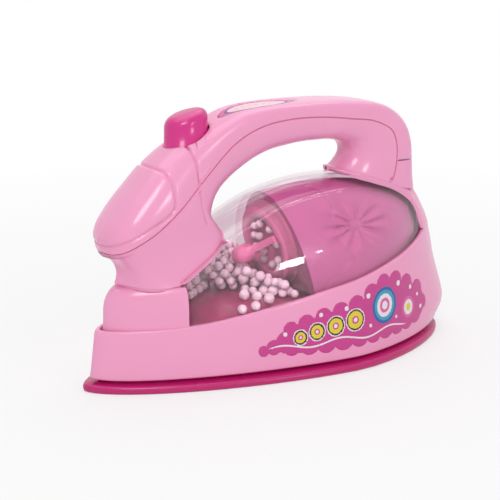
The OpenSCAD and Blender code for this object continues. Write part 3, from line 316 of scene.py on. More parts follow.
def column_row(z, inset, front, count=44):
    row = []
    for i in range(count + 1):
        u = (i / count) ** 1.6
        y = half_at(toe_at(inset) + (column_rear - toe_at(inset)) * u, inset)
        row.append(Vector((front + (column_rear - front) * u, -y if i else 0, z)))
    return row + [Vector((column_rear, 0, z))]


column_rows = [column_row(z * mm, rim_inset + 0.6 * mm, column_front - (20 - z) / 8 * 0.5 * mm)
               for z in (12.5, 15, 17.5, 20)]
for a in [radians(5 * i) for i in range(19)]:
    drawn = 1 - cos(a)
    column_rows.append(column_row(column_top - 6.6 * mm * (1 - sin(a)),
                                  rim_inset + (0.6 + 2.3 * drawn) * mm,
                                  column_front + 4.4 * mm * drawn))
column_rows.append(in_middle(column_rows[-1]))
drape(body_mesh, column_rows)

# The tongue's middle line and how far its sides fall, as shares along the toy
tongue_curve = [(0.283, 0.7), (0.35, 0.7), (0.47, 0.7), (0.6, 0.66), (0.7, 0.64),
                (0.781, 0.603), (0.818, 0.55), (0.862, 0.481), (0.889, 0.42)]
tongue_falls = [(0.283, 0.005), (0.35, 0.018), (0.47, 0.042), (0.6, 0.052), (0.7, 0.055),
                (0.781, 0.056), (0.818, 0.035), (0.862, 0.01), (0.889, 0.01)]
tongue_widths = [(0.283, 0.05), (0.35, 0.72), (0.47, 1), (0.6, 1), (0.69, 0.975)]
# The tail as it runs down the heel: middle x and z, then side x, y and z, in millimetres
tail_rows = [(45, 45.4, 43.3, 7.9, 40.2), (46.9, 43.7, 44.1, 8.1, 38.5),
             (49.1, 40.2, 45, 8.15, 36.4), (50.6, 37.6, 45.5, 8.3, 34.6),
             (51.7, 35.1, 46, 8.45, 32.9), (52.6, 32.4, 46.3, 8.2, 31)]
crest_curve = [(-0.617, 0.4726), (-0.5, 0.5225), (-0.367, 0.578), (-0.158, 0.656),
               (-0.02, 0.687), (0.117, 0.704), (0.267, 0.708), (0.417, 0.7), (0.567, 0.672),
               (0.7, 0.622), (0.76, 0.579), (0.8, 0.532), (0.835, 0.49)]
dome_inset, dome_front = 4.5 * mm, column_rear + 0.2 * mm
tongue_wall, tongue_edge = 1.25 * mm, 0.45 * mm
tongue_from, tongue_to, tongue_plate = 0.283, 0.69, 0.9 * mm
lip_least, lip_most, lip_back, lip_plate = 0.5 * mm, 2.4 * mm, 0.1 * mm, 0.6 * mm
grip_w = 15.8 * mm


def crest_z(x):
    return overall_h * smooth(crest_curve, x / half_l)


def rim_draw(x, inset, depth):
    """How far the window's rim is drawn along to the heel's profile."""
    f = near_heel(x, inset)
    return (heel_x(rim_z(heel_at(inset))) - depth - tongue_wall - heel_at(inset)) * f * f


def dome_z(x, y):
    """Height of the window over the point x, y."""
    n = x - rim_draw(x - rim_draw(x, dome_inset, 0), dome_inset, 0)
    r = min(1, abs(y) / max(half_at(n, dome_inset), 0.02 * mm))
    low = rim_z(n)
    return low + (crest_z(x) - low) * sqrt(1 - r * r)


def tongue_top(x, y):
    f, v = x / half_l, min(1, abs(y) / (grip_w / 2))
    top = overall_h * (smooth(tongue_curve, f) - smooth(tongue_falls, f) * v * v)
    return max(top, dome_z(x - tongue_edge, max(0, abs(y) - tongue_edge)) + tongue_wall)


def with_lip(over):
    """Turns a row's edge down onto the window and back along its underside."""
    edge = over[-1]
    foot = max(edge.z - lip_most, min(edge.z - lip_least, dome_z(edge.x, edge.y) + 0.1 * mm))
    under = [p - Vector((0, 0, tongue_plate)) for p in reversed(over[:-1])]
    return over + [Vector((edge.x - lip_back, edge.y + 0.12 * mm, foot)),
                   Vector((edge.x - lip_back, edge.y + lip_plate, foot))] + under


tongue_rows = []
shares = [v / 12 for v in range(13)]
for i in range(41):
    x = half_l * (tongue_from + (tongue_to - tongue_from) * i / 40)
    side = grip_w / 2 * smooth(tongue_widths, x / half_l)
    over = [Vector((x, -side * v, tongue_top(x, side * v))) for v in shares]
    over[-1].z -= 0.15 * mm
    tongue_rows.append(with_lip(over))
tail_rows = [(x / mm, over[0].z / mm, x / mm, side / mm, over[-1].z / mm)] + tail_rows
tail_tables = [[(k, row[j]) for k, row in enumerate(tail_rows)] for j in range(5)]
for i in range(1, 61):
    mid_x, mid_z, side_x, side_y, side_z = (smooth(table, i / 10) * mm for table in tail_tables)
    tongue_rows.append(with_lip([
        Vector((mid_x - (mid_x - side_x) * v ** 2.2, -side_y * v,
                mid_z - (mid_z - side_z) * v ** 2)) for v in shares]))
drape(body_mesh, tongue_rows)
both_sides(body_mesh)

pink_abs = moulded_plastic("pink_abs", "#f6a4cb", "#f29ec6", 0.2)
add_piece("body", body_mesh, pink_abs, ["body_shell"], 48)

# Bead tray
# A magenta tray that closes the chamber from below, its edge sloping up to the body's rim.
# Moulded in polystyrene and held between the body and the clear dome.
tray_ps = moulded_plastic("tray_polystyrene", "#9c1258", "#a01560", 0.32)
add_piece("tray", merged_copy("bead_tray"), tray_ps, ["bead_tray"])

# Motor, its holder and the shaft
# A small can motor of pressed steel with a nylon end cap, held in a pink cup whose ring
# shows in front of the hood. Its ground steel shaft carries the stirrer.
ring_abs = moulded_plastic("ring_abs", "#e482b0", "#dc77a8", 0.3)
add_piece("fan_ring", merged_copy("motor_holder"), ring_abs, ["motor_holder"])
dress("motor_can", zinc_steel)
dress("motor_shaft", nickel_plate)
dress("motor_end_cap", moulded_plastic("white_nylon", "#efece4", "#e6e2d8", 0.45))

# Stirrer
# A pink knob with slanting arms, moulded in one piece of polypropylene and pressed
# on the motor's shaft. It throws the beads about when the motor runs.
stirrer_pp = moulded_plastic("stirrer_polypropylene", "#e27dac", "#d972a3", 0.33)
add_piece("stirrer", merged_copy("impeller"), stirrer_pp, ["impeller"],
          body="rotor")

# Hood
# The satin magenta hood under the rear of the window, which hides the motor. Moulded in
# polystyrene, with an oval dimple pressed into each side, from which flutes run out.
fan_middle, fan_lean = Vector((-3.3, 0, 32.777)) * mm, radians(13.5)


def window_point(u, climb, front, depth, drop, lean):
    """Point of a shell under the window: u runs from its front to the heel."""
    inset = dome_inset + depth
    n = front + (heel_at(inset) - front) * u
    x = n + rim_draw(n, inset, depth)
    low = rim_z(n)
    z = low - drop + (max(crest_z(x) - depth, low) - low + drop) * sin(climb)
    return Vector((x - lean * (1 - u) ** 3 * (z - fan_middle.z),
                   -half_at(n, inset) * cos(climb), z))


def window_rows(front, depth, drop, lean, rows, columns):
    places = [(1 - cos(pi * i / rows)) / 2 for i in range(rows + 1)]
    made = [[window_point(u, pi / 2 * j / columns, front, depth, drop, lean)
             for j in range(columns + 1)] for u in places]
    for row in made:
        row[-1].y = 0
    return [in_middle(made[0])] + made[:-1] + [in_middle(made[-1])]


def fluted(point):
    """Presses the dimple and its flutes into the hood's side."""
    along_x, up_z = (point.x / half_l - 0.305) / 0.235, (point.z / overall_h - 0.525) / 0.105
    r, turn = hypot(along_x, up_z), atan2(up_z, along_x)
    if r < 1:
        bowl = 1.5 * mm * (1 - r * r) ** 2
        flute = 0.62 * mm * sin(pi * r) ** 1.4 * cos(10 * turn)
        boss = 0.6 * mm * max(0, 1 - (r / 0.16) ** 2)
        point.y = min(0, point.y + bowl + flute - boss)
    return point


# Where the hood starts, how far inside the window it stands and how far below the rim it ends
hood_front, hood_depth, hood_drop = -0.6 * mm, 2.4 * mm, 1.2 * mm
hood_rows = window_rows(hood_front, hood_depth, hood_drop, tan(fan_lean), 150, 84)
hood_mesh = both_sides(drape(bmesh.new(), [[fluted(p) for p in row] for row in hood_rows]))
hood_ps = moulded_plastic("hood_polystyrene", "#bb5f95", "#b2558c", 0.28, peel=0.02)
add_piece("hood", hood_mesh, hood_ps, ["inner_hood"], 50)

# Foam beads
# Pre-expanded polystyrene balls, white with a faint pink painted in, which is painted reflected
# # light from the pink plastic round them. They lie in a heap on the tray, and static holds some
# # to the dome and in the ring.
foam, place = new_material("expanded_polystyrene")
cells = add_node(foam, "TexVoronoi", {"Vector": place, "Scale": 1000 / 0.45})
dents = add_node(foam, "Bump", {"Height": cells, "Strength": 0.15, "Distance": 0.1 * mm})
# Both tones carry a painted pink reflection of the plastic round the beads.
shade = add_node(foam, "Mix", {"Factor": cells, MIX_A: "#f2e4ea", MIX_B: "#ecdae2"},
                 data_type="RGBA")
shader = add_node(foam, "BsdfPrincipled",
                  {"Base Color": shade, "Roughness": 0.5, "IOR": 1.4, "Normal": dents})
add_node(foam, "OutputMaterial", {"Surface": shader})

fan_axis = Vector((-cos(fan_lean), 0, -sin(fan_lean)))
tray_z, tray_fall, toe_run, tray_slope = 20.2 * mm, 0.055, 14 * mm, 4.6 * mm
knob_r, knob_long, arm_reach, arm_thick = 2.6 * mm, 10.8 * mm, 10.6 * mm, 1.9 * mm
arm_root, arm_ahead, arm_slant = 0.8 * mm, 6.7 * mm, 0.46
dome_clear, knob_clear = 1.3 * mm, 0.2 * mm


def eased(f):
    f = clamped(f)
    return f * f * (3 - 2 * f)


def tray_floor(x, y):
    """Height of the tray under the point x, y."""
    inset = rim_inset + body_wall + 0.15 * mm
    low = tray_z - overall_h * tray_fall * eased((dome_front + toe_run - x) / toe_run)
    slope = (abs(y) - half_at(x, inset) + tray_slope) / tray_slope
    return low + max(0, slope) * (rim_z(x) - 0.8 * mm - low)


def fits(centre, radius):
    """Whether a ball has room between the column, the bulkhead, the dome and the stirrer."""
    from_fan = centre - fan_middle
    ahead = from_fan.dot(fan_axis)
    out = (from_fan - fan_axis * ahead).length
    if centre.x < dome_front + dome_clear + radius or ahead < radius + 0.1 * mm:
        return False
    if dome_z(centre.x, abs(centre.y) + radius) - dome_clear < centre.z + 0.5 * radius:
        return False
    if dome_z(centre.x, centre.y) - dome_clear - radius * 1.05 < centre.z:
        return False
    arm_front = arm_ahead - (out - arm_root) * arm_slant
    swept = (out < arm_reach + radius
             and arm_front - arm_thick - radius < ahead < arm_front + radius)
    knob = out < knob_r + radius + knob_clear and ahead < knob_long + radius + knob_clear
    return not (swept or knob)


def drop_ball(x, y, radius, balls):
    """Lets a ball fall at x, y and roll a little, until it rests on the tray or on others."""
    def rest(x, y):
        z = tray_floor(x, y) + radius * 1.1
        for p, reach in near:
            flat = (p.x - x) ** 2 + (p.y - y) ** 2
            if flat < reach:
                z = max(z, p.z + sqrt(reach - flat))
        return z
    near = [(p, (r + radius) ** 2) for p, r in balls
            if abs(p.x - x) < 6 * mm and abs(p.y - y) < 6 * mm]
    z = rest(x, y)
    for step in (0.8 * mm, 0.4 * mm, 0.2 * mm):
        for _ in range(4):
            best = min(((rest(x + step * cos(a), y + step * sin(a)), a)
                        for a in (0, 0.8, 1.6, 2.4, 3.1, 3.9, 4.7, 5.5)))
            if best[0] >= z - 0.02 * mm:
                break
            z, x, y = best[0], x + step * cos(best[1]), y + step * sin(best[1])
    return Vector((x, y, z))


# The node's own balls come first, each found as the middle of a group of joined points
kept_copy = merged_copy("foam_beads")
balls, seen = [], set()
for first in kept_copy.verts:
    if first in seen:
        continue
    seen.add(first)
    group = [first]
    for vert in group:
        joined = {link.other_vert(vert) for link in vert.link_edges} - seen
        seen |= joined
        group += joined
    low = Vector([min(v.co[k] for v in group) for k in range(3)])
    high = Vector([max(v.co[k] for v in group) for k in range(3)])
    balls.append(((low + high) / 2, (high - low).length / 2 / sqrt(3)))
kept_copy.free()

# The heap's top as shares of the sizes, its foot on the near side in millimetres, and the way
# to the camera, on which no ball hides the stirrer's knob
rng = random.Random(11)
heap_line = [(-0.58, 0.44), (-0.42, 0.43), (-0.3, 0.42), (-0.2, 0.4), (-0.1, 0.37), (0.02, 0.35)]
heap_foot = [(-34, 3), (-17, 3.5), (-12, 2.5), (-9.5, -2), (-8, -5.5), (-5, -11.5), (-1, -14.5)]
to_camera = Vector((-0.5207, -0.815, 0.2536))
tries, rear_rise, toe_rise = 1500, 4 * mm, 11 * mm
for _ in range(tries):
    radius = rng.uniform(1.15, 1.45) * mm
    x = rng.uniform(-33, -1) * mm
    y = rng.uniform(-1, 1) * half_at(x, 6 * mm)
    centre = drop_ball(x, y, radius, balls)
    far_share = clamped(centre.y / (6 * mm))
    top = (overall_h * smooth(heap_line, centre.x / half_l)
           + (toe_rise if centre.x < -12 * mm else rear_rise) * far_share)
    past_foot = centre.y > smooth(heap_foot, centre.x / mm) * mm
    from_knob = centre - (fan_middle + fan_axis * 8 * mm)
    beside = from_knob - to_camera * from_knob.dot(to_camera)
    in_sight = from_knob.dot(to_camera) > 0 and beside.length < 4.3 * mm
    if centre.z < top and past_foot and not in_sight and fits(centre, radius):
        balls.append((centre, radius))
for x, y, radius in ((-19.4, -14.2, 1.3), (-15.6, -14.9, 1.35), (-11.4, -15.9, 1.05)):
    spot = Vector((x, y, 0)) * mm
    spot.z = tray_floor(spot.x, spot.y) + radius * 1.08 * mm
    if all((spot - p).length > radius * mm + r for p, r in balls):
        balls.append((spot, radius * mm))
beads_mesh = bmesh.new()
for centre, radius in balls:
    turn = Matrix.Rotation(rng.uniform(0, 3), 4, "X") @ Matrix.Rotation(rng.uniform(0, 3), 4, "Z")
    bmesh.ops.create_icosphere(beads_mesh, subdivisions=2, radius=radius * 1.02,
                               matrix=Matrix.Translation(centre) @ turn)
add_piece("beads", beads_mesh, foam, ["foam_beads"], 180)

# Clear dome and bulkhead
# The window is one shell of clear polystyrene that stands on the rim; the bulkhead is a
# flat clear plate with a round hole. Both are polished, and a touch milky. The wall is too thin
# to bend the view, so the gloss sits in a clear coat over a body that barely refracts.
clear_ps, place = new_material("clear_polystyrene")
ripple = add_node(clear_ps, "TexNoise", {"Vector": place, "Scale": 1000 / 9, "Detail": 1.0})
bump = add_node(clear_ps, "Bump", {"Height": ripple, "Strength": 0.015, "Distance": mm})
haze = add_node(clear_ps, "Mix", {"Factor": ripple, MIX_A: "#f4e9ee", MIX_B: "#f2e6ec"},
                data_type="RGBA")
solid = add_node(clear_ps, "BsdfPrincipled",
                 {"Base Color": haze, "Roughness": 0.0, "IOR": 1.005, "Transmission Weight": 1.0,
                  "Coat Weight": 1.0, "Coat IOR": 1.5, "Coat Roughness": 0.02,
                  "Normal": bump, "Coat Normal": bump})
lit = add_node(clear_ps, "BsdfTransparent", {"Color": "#fbeaf2"})
ray = add_node(clear_ps, "LightPath")
mixed = add_node(clear_ps, "MixShader", {"Fac": ray.outputs["Is Shadow Ray"], 1: solid, 2: lit})
add_node(clear_ps, "OutputMaterial", {"Surface": mixed})

dome_wall, rim_gap = 1.2 * mm, 0.1 * mm
dome_mesh = drape(bmesh.new(), window_rows(dome_front, 0, -rim_gap, 0, 96, 48))
drape(dome_mesh, window_rows(dome_front + dome_wall, dome_wall, -rim_gap, 0, 96, 48))
rim_edges = [e for e in dome_mesh.edges
             if e.is_boundary and max(abs(v.co.y) for v in e.verts) > 0.01 * mm]
bmesh.ops.bridge_loops(dome_mesh, edges=rim_edges)
both_sides(dome_mesh)
add_piece("dome", dome_mesh, clear_ps, ["clear_dome"], 50)
add_piece("bulkhead", merged_copy("clear_bulkhead"), clear_ps,
          ["clear_bulkhead"])

# Handle
# Two pink ABS shells, moulded on four sweeping curves, meet in a joint line along the sides.
# The joint's edges are rounded over, a raised panel covers the front of the head, and a fine
# groove parts the head from the grip.
shell_wall, lip_r, joint, dome_gap = 1.2 * mm, 0.42 * mm, 0.12 * mm, 0.12 * mm
columns = 62
# The rows at which the grip becomes the head, and the keel begins to turn into the collar
neck, collar = 15, 18.2
# Shares of half the length, half the grip's width and the height, from the heel over the grip
# to the nose. The crown lies in the middle plane, so it has no width.
crown_curve = [(0.764, 0.603), (0.75, 0.671), (0.742, 0.734), (0.733, 0.797), (0.708, 0.858),
               (0.66, 0.911), (0.583, 0.949), (0.483, 0.974), (0.333, 0.99), (0.183, 0.996),
               (0.033, 0.997), (-0.117, 0.994), (-0.242, 0.98), (-0.35, 0.943), (-0.45, 0.908),
               (-0.549, 0.879), (-0.633, 0.834), (-0.694, 0.787), (-0.744, 0.743),
               (-0.796, 0.698), (-0.841, 0.653), (-0.878, 0.615), (-0.901, 0.583),
               (-0.913, 0.56)]
seam_curve = [(0.567, 1, 0.64), (0.592, 0.98, 0.685), (0.605, 0.97, 0.74), (0.603, 0.97, 0.803),
              (0.575, 0.97, 0.858), (0.517, 0.97, 0.889), (0.442, 0.98, 0.91),
              (0.342, 1, 0.921), (0.217, 1, 0.936), (0.083, 1, 0.944), (-0.033, 1, 0.942),
              (-0.133, 1, 0.93), (-0.225, 1.01, 0.905), (-0.308, 1.02, 0.866),
              (-0.383, 1.05, 0.814), (-0.453, 1.11, 0.762), (-0.508, 1.18, 0.722),
              (-0.567, 1.26, 0.679), (-0.633, 1.3, 0.636), (-0.705, 1.3, 0.593),
              (-0.773, 1.24, 0.561), (-0.837, 1.04, 0.532), (-0.882, 0.66, 0.517),
              (-0.9, 0, 0.514)]
keel_curve = [(0.29, 0, 0.709), (0.34, 0, 0.74), (0.37, 0, 0.77), (0.37, 0, 0.797),
              (0.343, 0, 0.82), (0.288, 0, 0.833), (0.228, 0, 0.839), (0.16, 0, 0.84),
              (0.083, 0, 0.838), (0, 0, 0.83), (-0.078, 0, 0.819), (-0.157, 0, 0.796),
              (-0.232, 0, 0.763), (-0.297, 0, 0.728), (-0.349, 0, 0.69), (-0.378, 0, 0.647),
              (-0.385, 0, 0.59), (-0.36, 0.64, 0.562), (-0.357, 1.02, 0.527),
              (-0.4, 1.28, 0.485), (-0.492, 1.32, 0.419), (-0.608, 1.25, 0.384),
              (-0.742, 0.99, 0.384), (-0.838, 0, 0.392)]
# From the heel to the neck the bend keeps to the keel's places
bend_curve = [(x, 1.07, z) for x, _, z in keel_curve[:neck]]
bend_curve += [(-0.378, 1.12, 0.647), (-0.385, 1.18, 0.605), (-0.385, 1.24, 0.585),
               (-0.42, 1.25, 0.57), (-0.53, 1.22, 0.54), (-0.61, 1.16, 0.49),
               (-0.69, 1.05, 0.46), (-0.77, 0.75, 0.455), (-0.8, 0, 0.457)]
last_row = len(crown_curve) - 1
# How near the sections come to their corners: the cover's from the heel to the nose, and the
# lower shell's
cover_pulls, under_pull = [(0, 1.3), (5, 1.4), (7, 3), (12, 3), (15, 1.3), (23, 1.15)], 1.15


def around(rows, i):
    """The rows before i, at i and the two after it, where the table has them."""
    return rows[max(i - 1, 0)], rows[i], rows[i + 1], rows[min(i + 2, len(rows) - 1)]


def spline(a, b, c, d, u):
    """Place at u between b and c on a smooth curve through a, b, c and d."""
    return 0.5 * (2 * b + (c - a) * u + (2 * a - 5 * b + 4 * c - d) * u * u
                  + (3 * b - a - 3 * c + d) * u ** 3)


def along(curve, t):
    """Point at t of a smooth curve through the rows, in metres on the near side."""
    i = min(int(t), last_row - 1)
    p = [spline(*values, t - i) for values in zip(*around(curve, i))]
    if len(p) == 2:
        p = [p[0], 0, p[1]]
    return Vector((half_l * p[0], -grip_w / 2 * p[1], overall_h * p[2]))


def arc_point(start, corner, end, pull, f):
    """Point of a conic arc; a larger pull draws it nearer to its corner."""
    a, b, c = (1 - f) ** 2, 2 * pull * f * (1 - f), f * f
    return (start * a + corner * b + end * c) / (a + b + c)


def between(table, t):
    """Value at t of a table of (place, value), eased from place to place."""
    for (a, low), (b, high) in zip(table, table[1:]):
        if t <= b:
            return low + (high - low) * eased((t - a) / (b - a))
    return table[-1][1]


def seam_down(t):
    run = along(seam_curve, min(t + 0.1, last_row)) - along(seam_curve, max(t - 0.1, 0))
    return Vector((-run.z, 0, run.x)).normalized()


def edge_in(curve, t):
    """Level direction from an edge of the shell to its inside."""
    run = along(curve, min(t + 0.05, last_row)) - along(curve, max(t - 0.05, 0))
    if t > last_row - 0.02:
        return Vector((1, 0, 0))
    inward = Vector((run.y, -run.x, 0))
    return inward.normalized() if inward.y > 0 else Vector((0, 1, 0))


def rounded_in(distance, radius):
    """How far an edge of that radius is drawn in at a distance from its lip."""
    if distance >= radius:
        return 0.0
    return radius - sqrt(radius * radius - (radius - distance) ** 2)


def on_near_side(points):
    for point in points:
        point.y = min(0, point.y)
    return points


def clear_of_dome(point):
    """Lifts a point of the handle clear of the window and of the tongue over it."""
    if point.x > dome_front - dome_wall:
        low = dome_z(point.x, point.y) + dome_gap
        if point.x > 0.28 * half_l:
            low = max(low, tongue_top(point.x, point.y) + 0.1 * mm)
        point.z = max(point.z, low)
    return point


def across(start, corner, end, pull, inward):
    """Half a section, over the rounded lip of the joint to the middle plane."""
    points = [arc_point(start, corner, end, pull, (j / columns) ** 1.2)
              for j in range(columns + 1)]
    run = 0.0
    for point, following in zip(points, points[1:]):
        point += inward * rounded_in(run, lip_r)
        run += (following - point).length
    return points


def cover_section(t):
    crown, seam = along(crown_curve, t), along(seam_curve, t)
    if t >= last_row:
        seam.y = 0
    inward, down = edge_in(seam_curve, t), seam_down(t)
    half = across(seam, Vector((crown.x, seam.y, crown.z)), crown, between(cover_pulls, t), inward)
    return on_near_side([seam + inward * shell_wall - down * 0.3 * mm] + half)


def under_section(t):
    down = seam_down(t)
    seam = along(seam_curve, t) + down * joint
    keel, bend = along(keel_curve, t), along(bend_curve, t)
    if t >= last_row:
        seam.y = keel.y = bend.y = 0
    inward = edge_in(seam_curve, t)
    corner = bend if t > neck else Vector((bend.x, seam.y, bend.z))
    half = across(seam, corner, keel, under_pull, inward)
    step_in = seam + inward * (lip_r + 0.03 * mm)
    half = [step_in - down * 0.9 * mm, step_in - down * 0.3 * mm, step_in] + half
    low_in, share = edge_in(keel_curve, t), eased(t - collar)
    half += [keel + low_in * 0.35 * mm * share,
             keel + low_in * 0.45 * mm * share - Vector((0, 0, 1.1 * mm * share))]
    return [clear_of_dome(point) for point in on_near_side(half)]


nose_places = [22.85, 22.9, 22.95, 23]
cover_places = [2 + i / 7 for i in range(84)] + [14 + i / 20 for i in range(177)] + nose_places
under_places = [i / 7 for i in range(105)] + [15 + i / 20 for i in range(157)] + nose_places


def laid_on(skin, line):
    """A measured line, made dense, laid on the surface and smoothed."""
    dense = []
    for i in range(len(line) - 1):
        a, b, c, d = (Vector(place) for place in around(line, i))
        count = max(2, int((c - b).length / 0.25))
        dense += [spline(a, b, c, d, k / count) * mm for k in range(count)]
    dense.append(Vector(line[-1]) * mm)
    laid = [skin.find_nearest(p)[0] for p in dense]
    for _ in range(12):
        inner = [(a + b * 2 + c) / 4 for a, b, c in zip(laid, laid[1:], laid[2:])]
        laid = [laid[0]] + inner + [laid[-1]]
    return [skin.find_nearest(p)[0] for p in laid]


def line_tree(points):
    tree = KDTree(len(points))
    for i, point in enumerate(points):
        tree.insert(point, i)
    tree.balance()
    return tree


def side_of(points, tree, spot, normal):
    """Signed distance to a line on the surface, positive on its left, and its place on it."""
    foot, i, away = tree.find(spot)
    run = points[min(i + 1, len(points) - 1)] - points[max(i - 1, 0)]
    across_run = run.cross(normal)
    side = across_run.normalized().dot(spot - foot) if across_run.length else away
    past_end = i in (0, len(points) - 1) and abs(side) < 0.9 * away
    return side, i / (len(points) - 1), away, past_end


# Points of the lines on the near side, in millimetres: the panel's edge from the head's top to
# the nose, and the groove across the upper and the lower shell
panel_line = [(-41.3, 0, 59.6), (-41.1, -2.2, 59.4), (-40.3, -4.5, 58.9), (-38.9, -6.5, 57.8),
              (-37.6, -7.9, 55.7), (-37.1, -8.6, 52.5), (-37.8, -9.2, 48.4), (-44, -9.2, 44.7),
              (-50, -7.2, 41.4), (-53.2, -4, 40.1), (-54.3, -1.5, 39.8), (-54.6, 0, 39.8)]
upper_groove = [(-31.2, -4.8, 64.4), (-30.5, -6.5, 62.7), (-29.6, -8, 59.5), (-29.2, -8.8, 56),
                (-29, -9.2, 53.4)]
lower_groove = [(-29, -9.4, 52.4), (-28.2, -9.8, 49), (-27.6, -10, 45.4), (-26.6, -9.8, 42.6)]
groove_deep, groove_wide, panel_lift = 0.6 * mm, 0.32 * mm, 0.24 * mm
ditch_deep, ditch_wide, ditch_at = 0.42 * mm, 0.34 * mm, 0.35 * mm
head_end_x, panel_end_x = -24 * mm, -34 * mm


def carve(bm, skin, groove, panel=None):
    """Raises the panel inside its line and sinks the groove along its own."""
    bm.normal_update()
    groove_points = laid_on(skin, groove)
    groove_tree = line_tree(groove_points)
    panel_points = laid_on(skin, panel) if panel else []
    panel_tree = line_tree(panel_points)
    moves = []
    for vert in bm.verts:
        spot = Vector((vert.co.x, -abs(vert.co.y), vert.co.z))
        if spot.x > head_end_x:
            continue
        normal = Vector((vert.normal.x, -abs(vert.normal.y), vert.normal.z))
        lift = 0.0
        side, place_on, away, past_end = side_of(groove_points, groove_tree, spot, normal)
        if away < 1.5 * mm and not past_end:
            taper = 1 if panel else eased((1 - place_on) * 6)
            lift -= groove_deep * exp(-(side / groove_wide) ** 2) * taper
        if panel and spot.x < panel_end_x:
            side = side_of(panel_points, panel_tree, spot, normal)[0]
            lift += panel_lift * eased((side + 0.3 * mm) / (1.0 * mm))
            lift -= ditch_deep * exp(-((side + ditch_at) / ditch_wide) ** 2)
        if lift:
            moves.append((vert, vert.normal * lift))
    for vert, move in moves:
        vert.co += move
    return bm


def from_above(skin, x, y):
    """Where a line straight down at x, y meets the surface."""
    return skin.ray_cast(Vector((x, y, 2 * overall_h)), Vector((0, 0, -1)))[0]


def pierce(bm, skin, middle_x, half_long, half_wide):
    """Cuts an oval hole down through the crown, with its rim on the surface."""
    def reach(p):
        return hypot((p.x - middle_x) / half_long, p.y / half_wide)
    crown_over = 0.7 * overall_h
    doomed = [f for f in bm.faces if reach(f.calc_center_median()) < 1 and f.normal.z > 0.2
              and f.calc_center_median().z > crown_over]
    bmesh.ops.delete(bm, geom=doomed, context="FACES")
    for vert in bm.verts:
        if any(e.is_boundary for e in vert.link_edges) and 0.5 < reach(vert.co) < 1.4 \
                and vert.co.z > crown_over:
            scale = 1 / reach(vert.co)
            x, y = middle_x + (vert.co.x - middle_x) * scale, vert.co.y * scale
            hit = from_above(skin, x, y)
            if hit:
                vert.co = hit
    return bm


def give_wall(piece, name, thickness):
    wall = piece.modifiers.new(name, "SOLIDIFY")
    wall.thickness, wall.offset = thickness, -1


badge_x, badge_long, badge_wide, badge_sink = -0.105 * half_l, 12.2 * mm, 4.4 * mm, 0.5 * mm
button_x, hole_long, hole_wide = -28.2 * mm, 6.5 * mm, 5.55 * mm
cover_mesh = both_sides(drape(bmesh.new(), [cover_section(t) for t in cover_places]))
cover_skin = BVHTree.FromBMesh(cover_mesh)
carve(cover_mesh, cover_skin, upper_groove, panel_line)
for vert in cover_mesh.verts:
    reach = hypot((vert.co.x - badge_x) / badge_long, vert.co.y / badge_wide)
    if vert.co.z > 0.85 * overall_h and vert.normal.z > 0:
        vert.co.z -= badge_sink * (1 - eased((reach - 0.97) / 0.06))
pierce(cover_mesh, BVHTree.FromBMesh(cover_mesh), button_x, hole_long, hole_wide)
under_mesh = drape(bmesh.new(), [under_section(t) for t in under_places])
foot_block = [[clear_of_dome(point) for point in cover_section(k / 12)] for k in range(24)]
under_mesh = both_sides(drape(under_mesh, foot_block))
carve(under_mesh, BVHTree.FromBMesh(under_mesh), lower_groove)
for name, mesh, node in (("handle_under", under_mesh, "handle_lower"),
                         ("handle_over", cover_mesh, "handle_cover")):
    shell = add_piece(name, mesh, pink_abs, [node], 50)
    give_wall(shell, "wall", shell_wall)

# Badge
# An oval of printed film laid in a recess of the crown: a purple line and a pale field with a row
# # of plain yellow dots, inside a deep pink border that is painted shade of the recess's edge.
badge_film, place = new_material("printed_badge_film")
centred = add_node(badge_film, "Mapping", {"Vector": place, "Location": (-badge_x, 0, 0)})
oval = add_node(badge_film, "VectorMath", {0: centred, 1: (1 / badge_long, 1 / badge_wide, 0)},
                operation="MULTIPLY")
reach_out = add_node(badge_film, "VectorMath", {0: oval}, operation="LENGTH")
inner_line = add_node(badge_film, "Math", {0: reach_out, 1: 0.74}, operation="GREATER_THAN")
# The deep pink outer ring is painted shade, standing in for the recess's edge shading the film.
painted_shade_rim = add_node(badge_film, "Math", {0: reach_out, 1: 0.82}, operation="GREATER_THAN")
axes = add_node(badge_film, "SeparateXYZ", {"Vector": centred})
pitch = add_node(badge_film, "Math", {0: axes, 1: 1.05 * mm}, operation="PINGPONG")
dot_at = add_node(badge_film, "CombineXYZ", {"X": pitch, "Y": axes.outputs["Y"]})
dot_reach = add_node(badge_film, "VectorMath", {0: dot_at}, operation="LENGTH")
dot = add_node(badge_film, "Math", {0: dot_reach, 1: 0.62 * mm}, operation="LESS_THAN")
in_row = add_node(badge_film, "Math", {0: reach_out, 1: 0.58}, operation="LESS_THAN")
dots = add_node(badge_film, "Math", {0: dot, 1: in_row}, operation="MULTIPLY")
printed = "#f8c9df"
for part, ink in ((dots, "#efbf3c"), (inner_line, "#6f3487"), (painted_shade_rim, "#d0609c")):
    printed = add_node(badge_film, "Mix", {"Factor": part, MIX_A: printed, MIX_B: ink},
                       data_type="RGBA")
shader = add_node(badge_film, "BsdfPrincipled",
                  {"Base Color": printed, "Roughness": 0.25, "IOR": 1.5})
add_node(badge_film, "OutputMaterial", {"Surface": shader})


def turn_faces(bm, way):
    """Turns every face of an open sheet to the side that way points to."""
    bmesh.ops.recalc_face_normals(bm, faces=bm.faces)
    if sum(f.normal.dot(way) for f in bm.faces) < 0:
        bmesh.ops.reverse_faces(bm, faces=bm.faces)


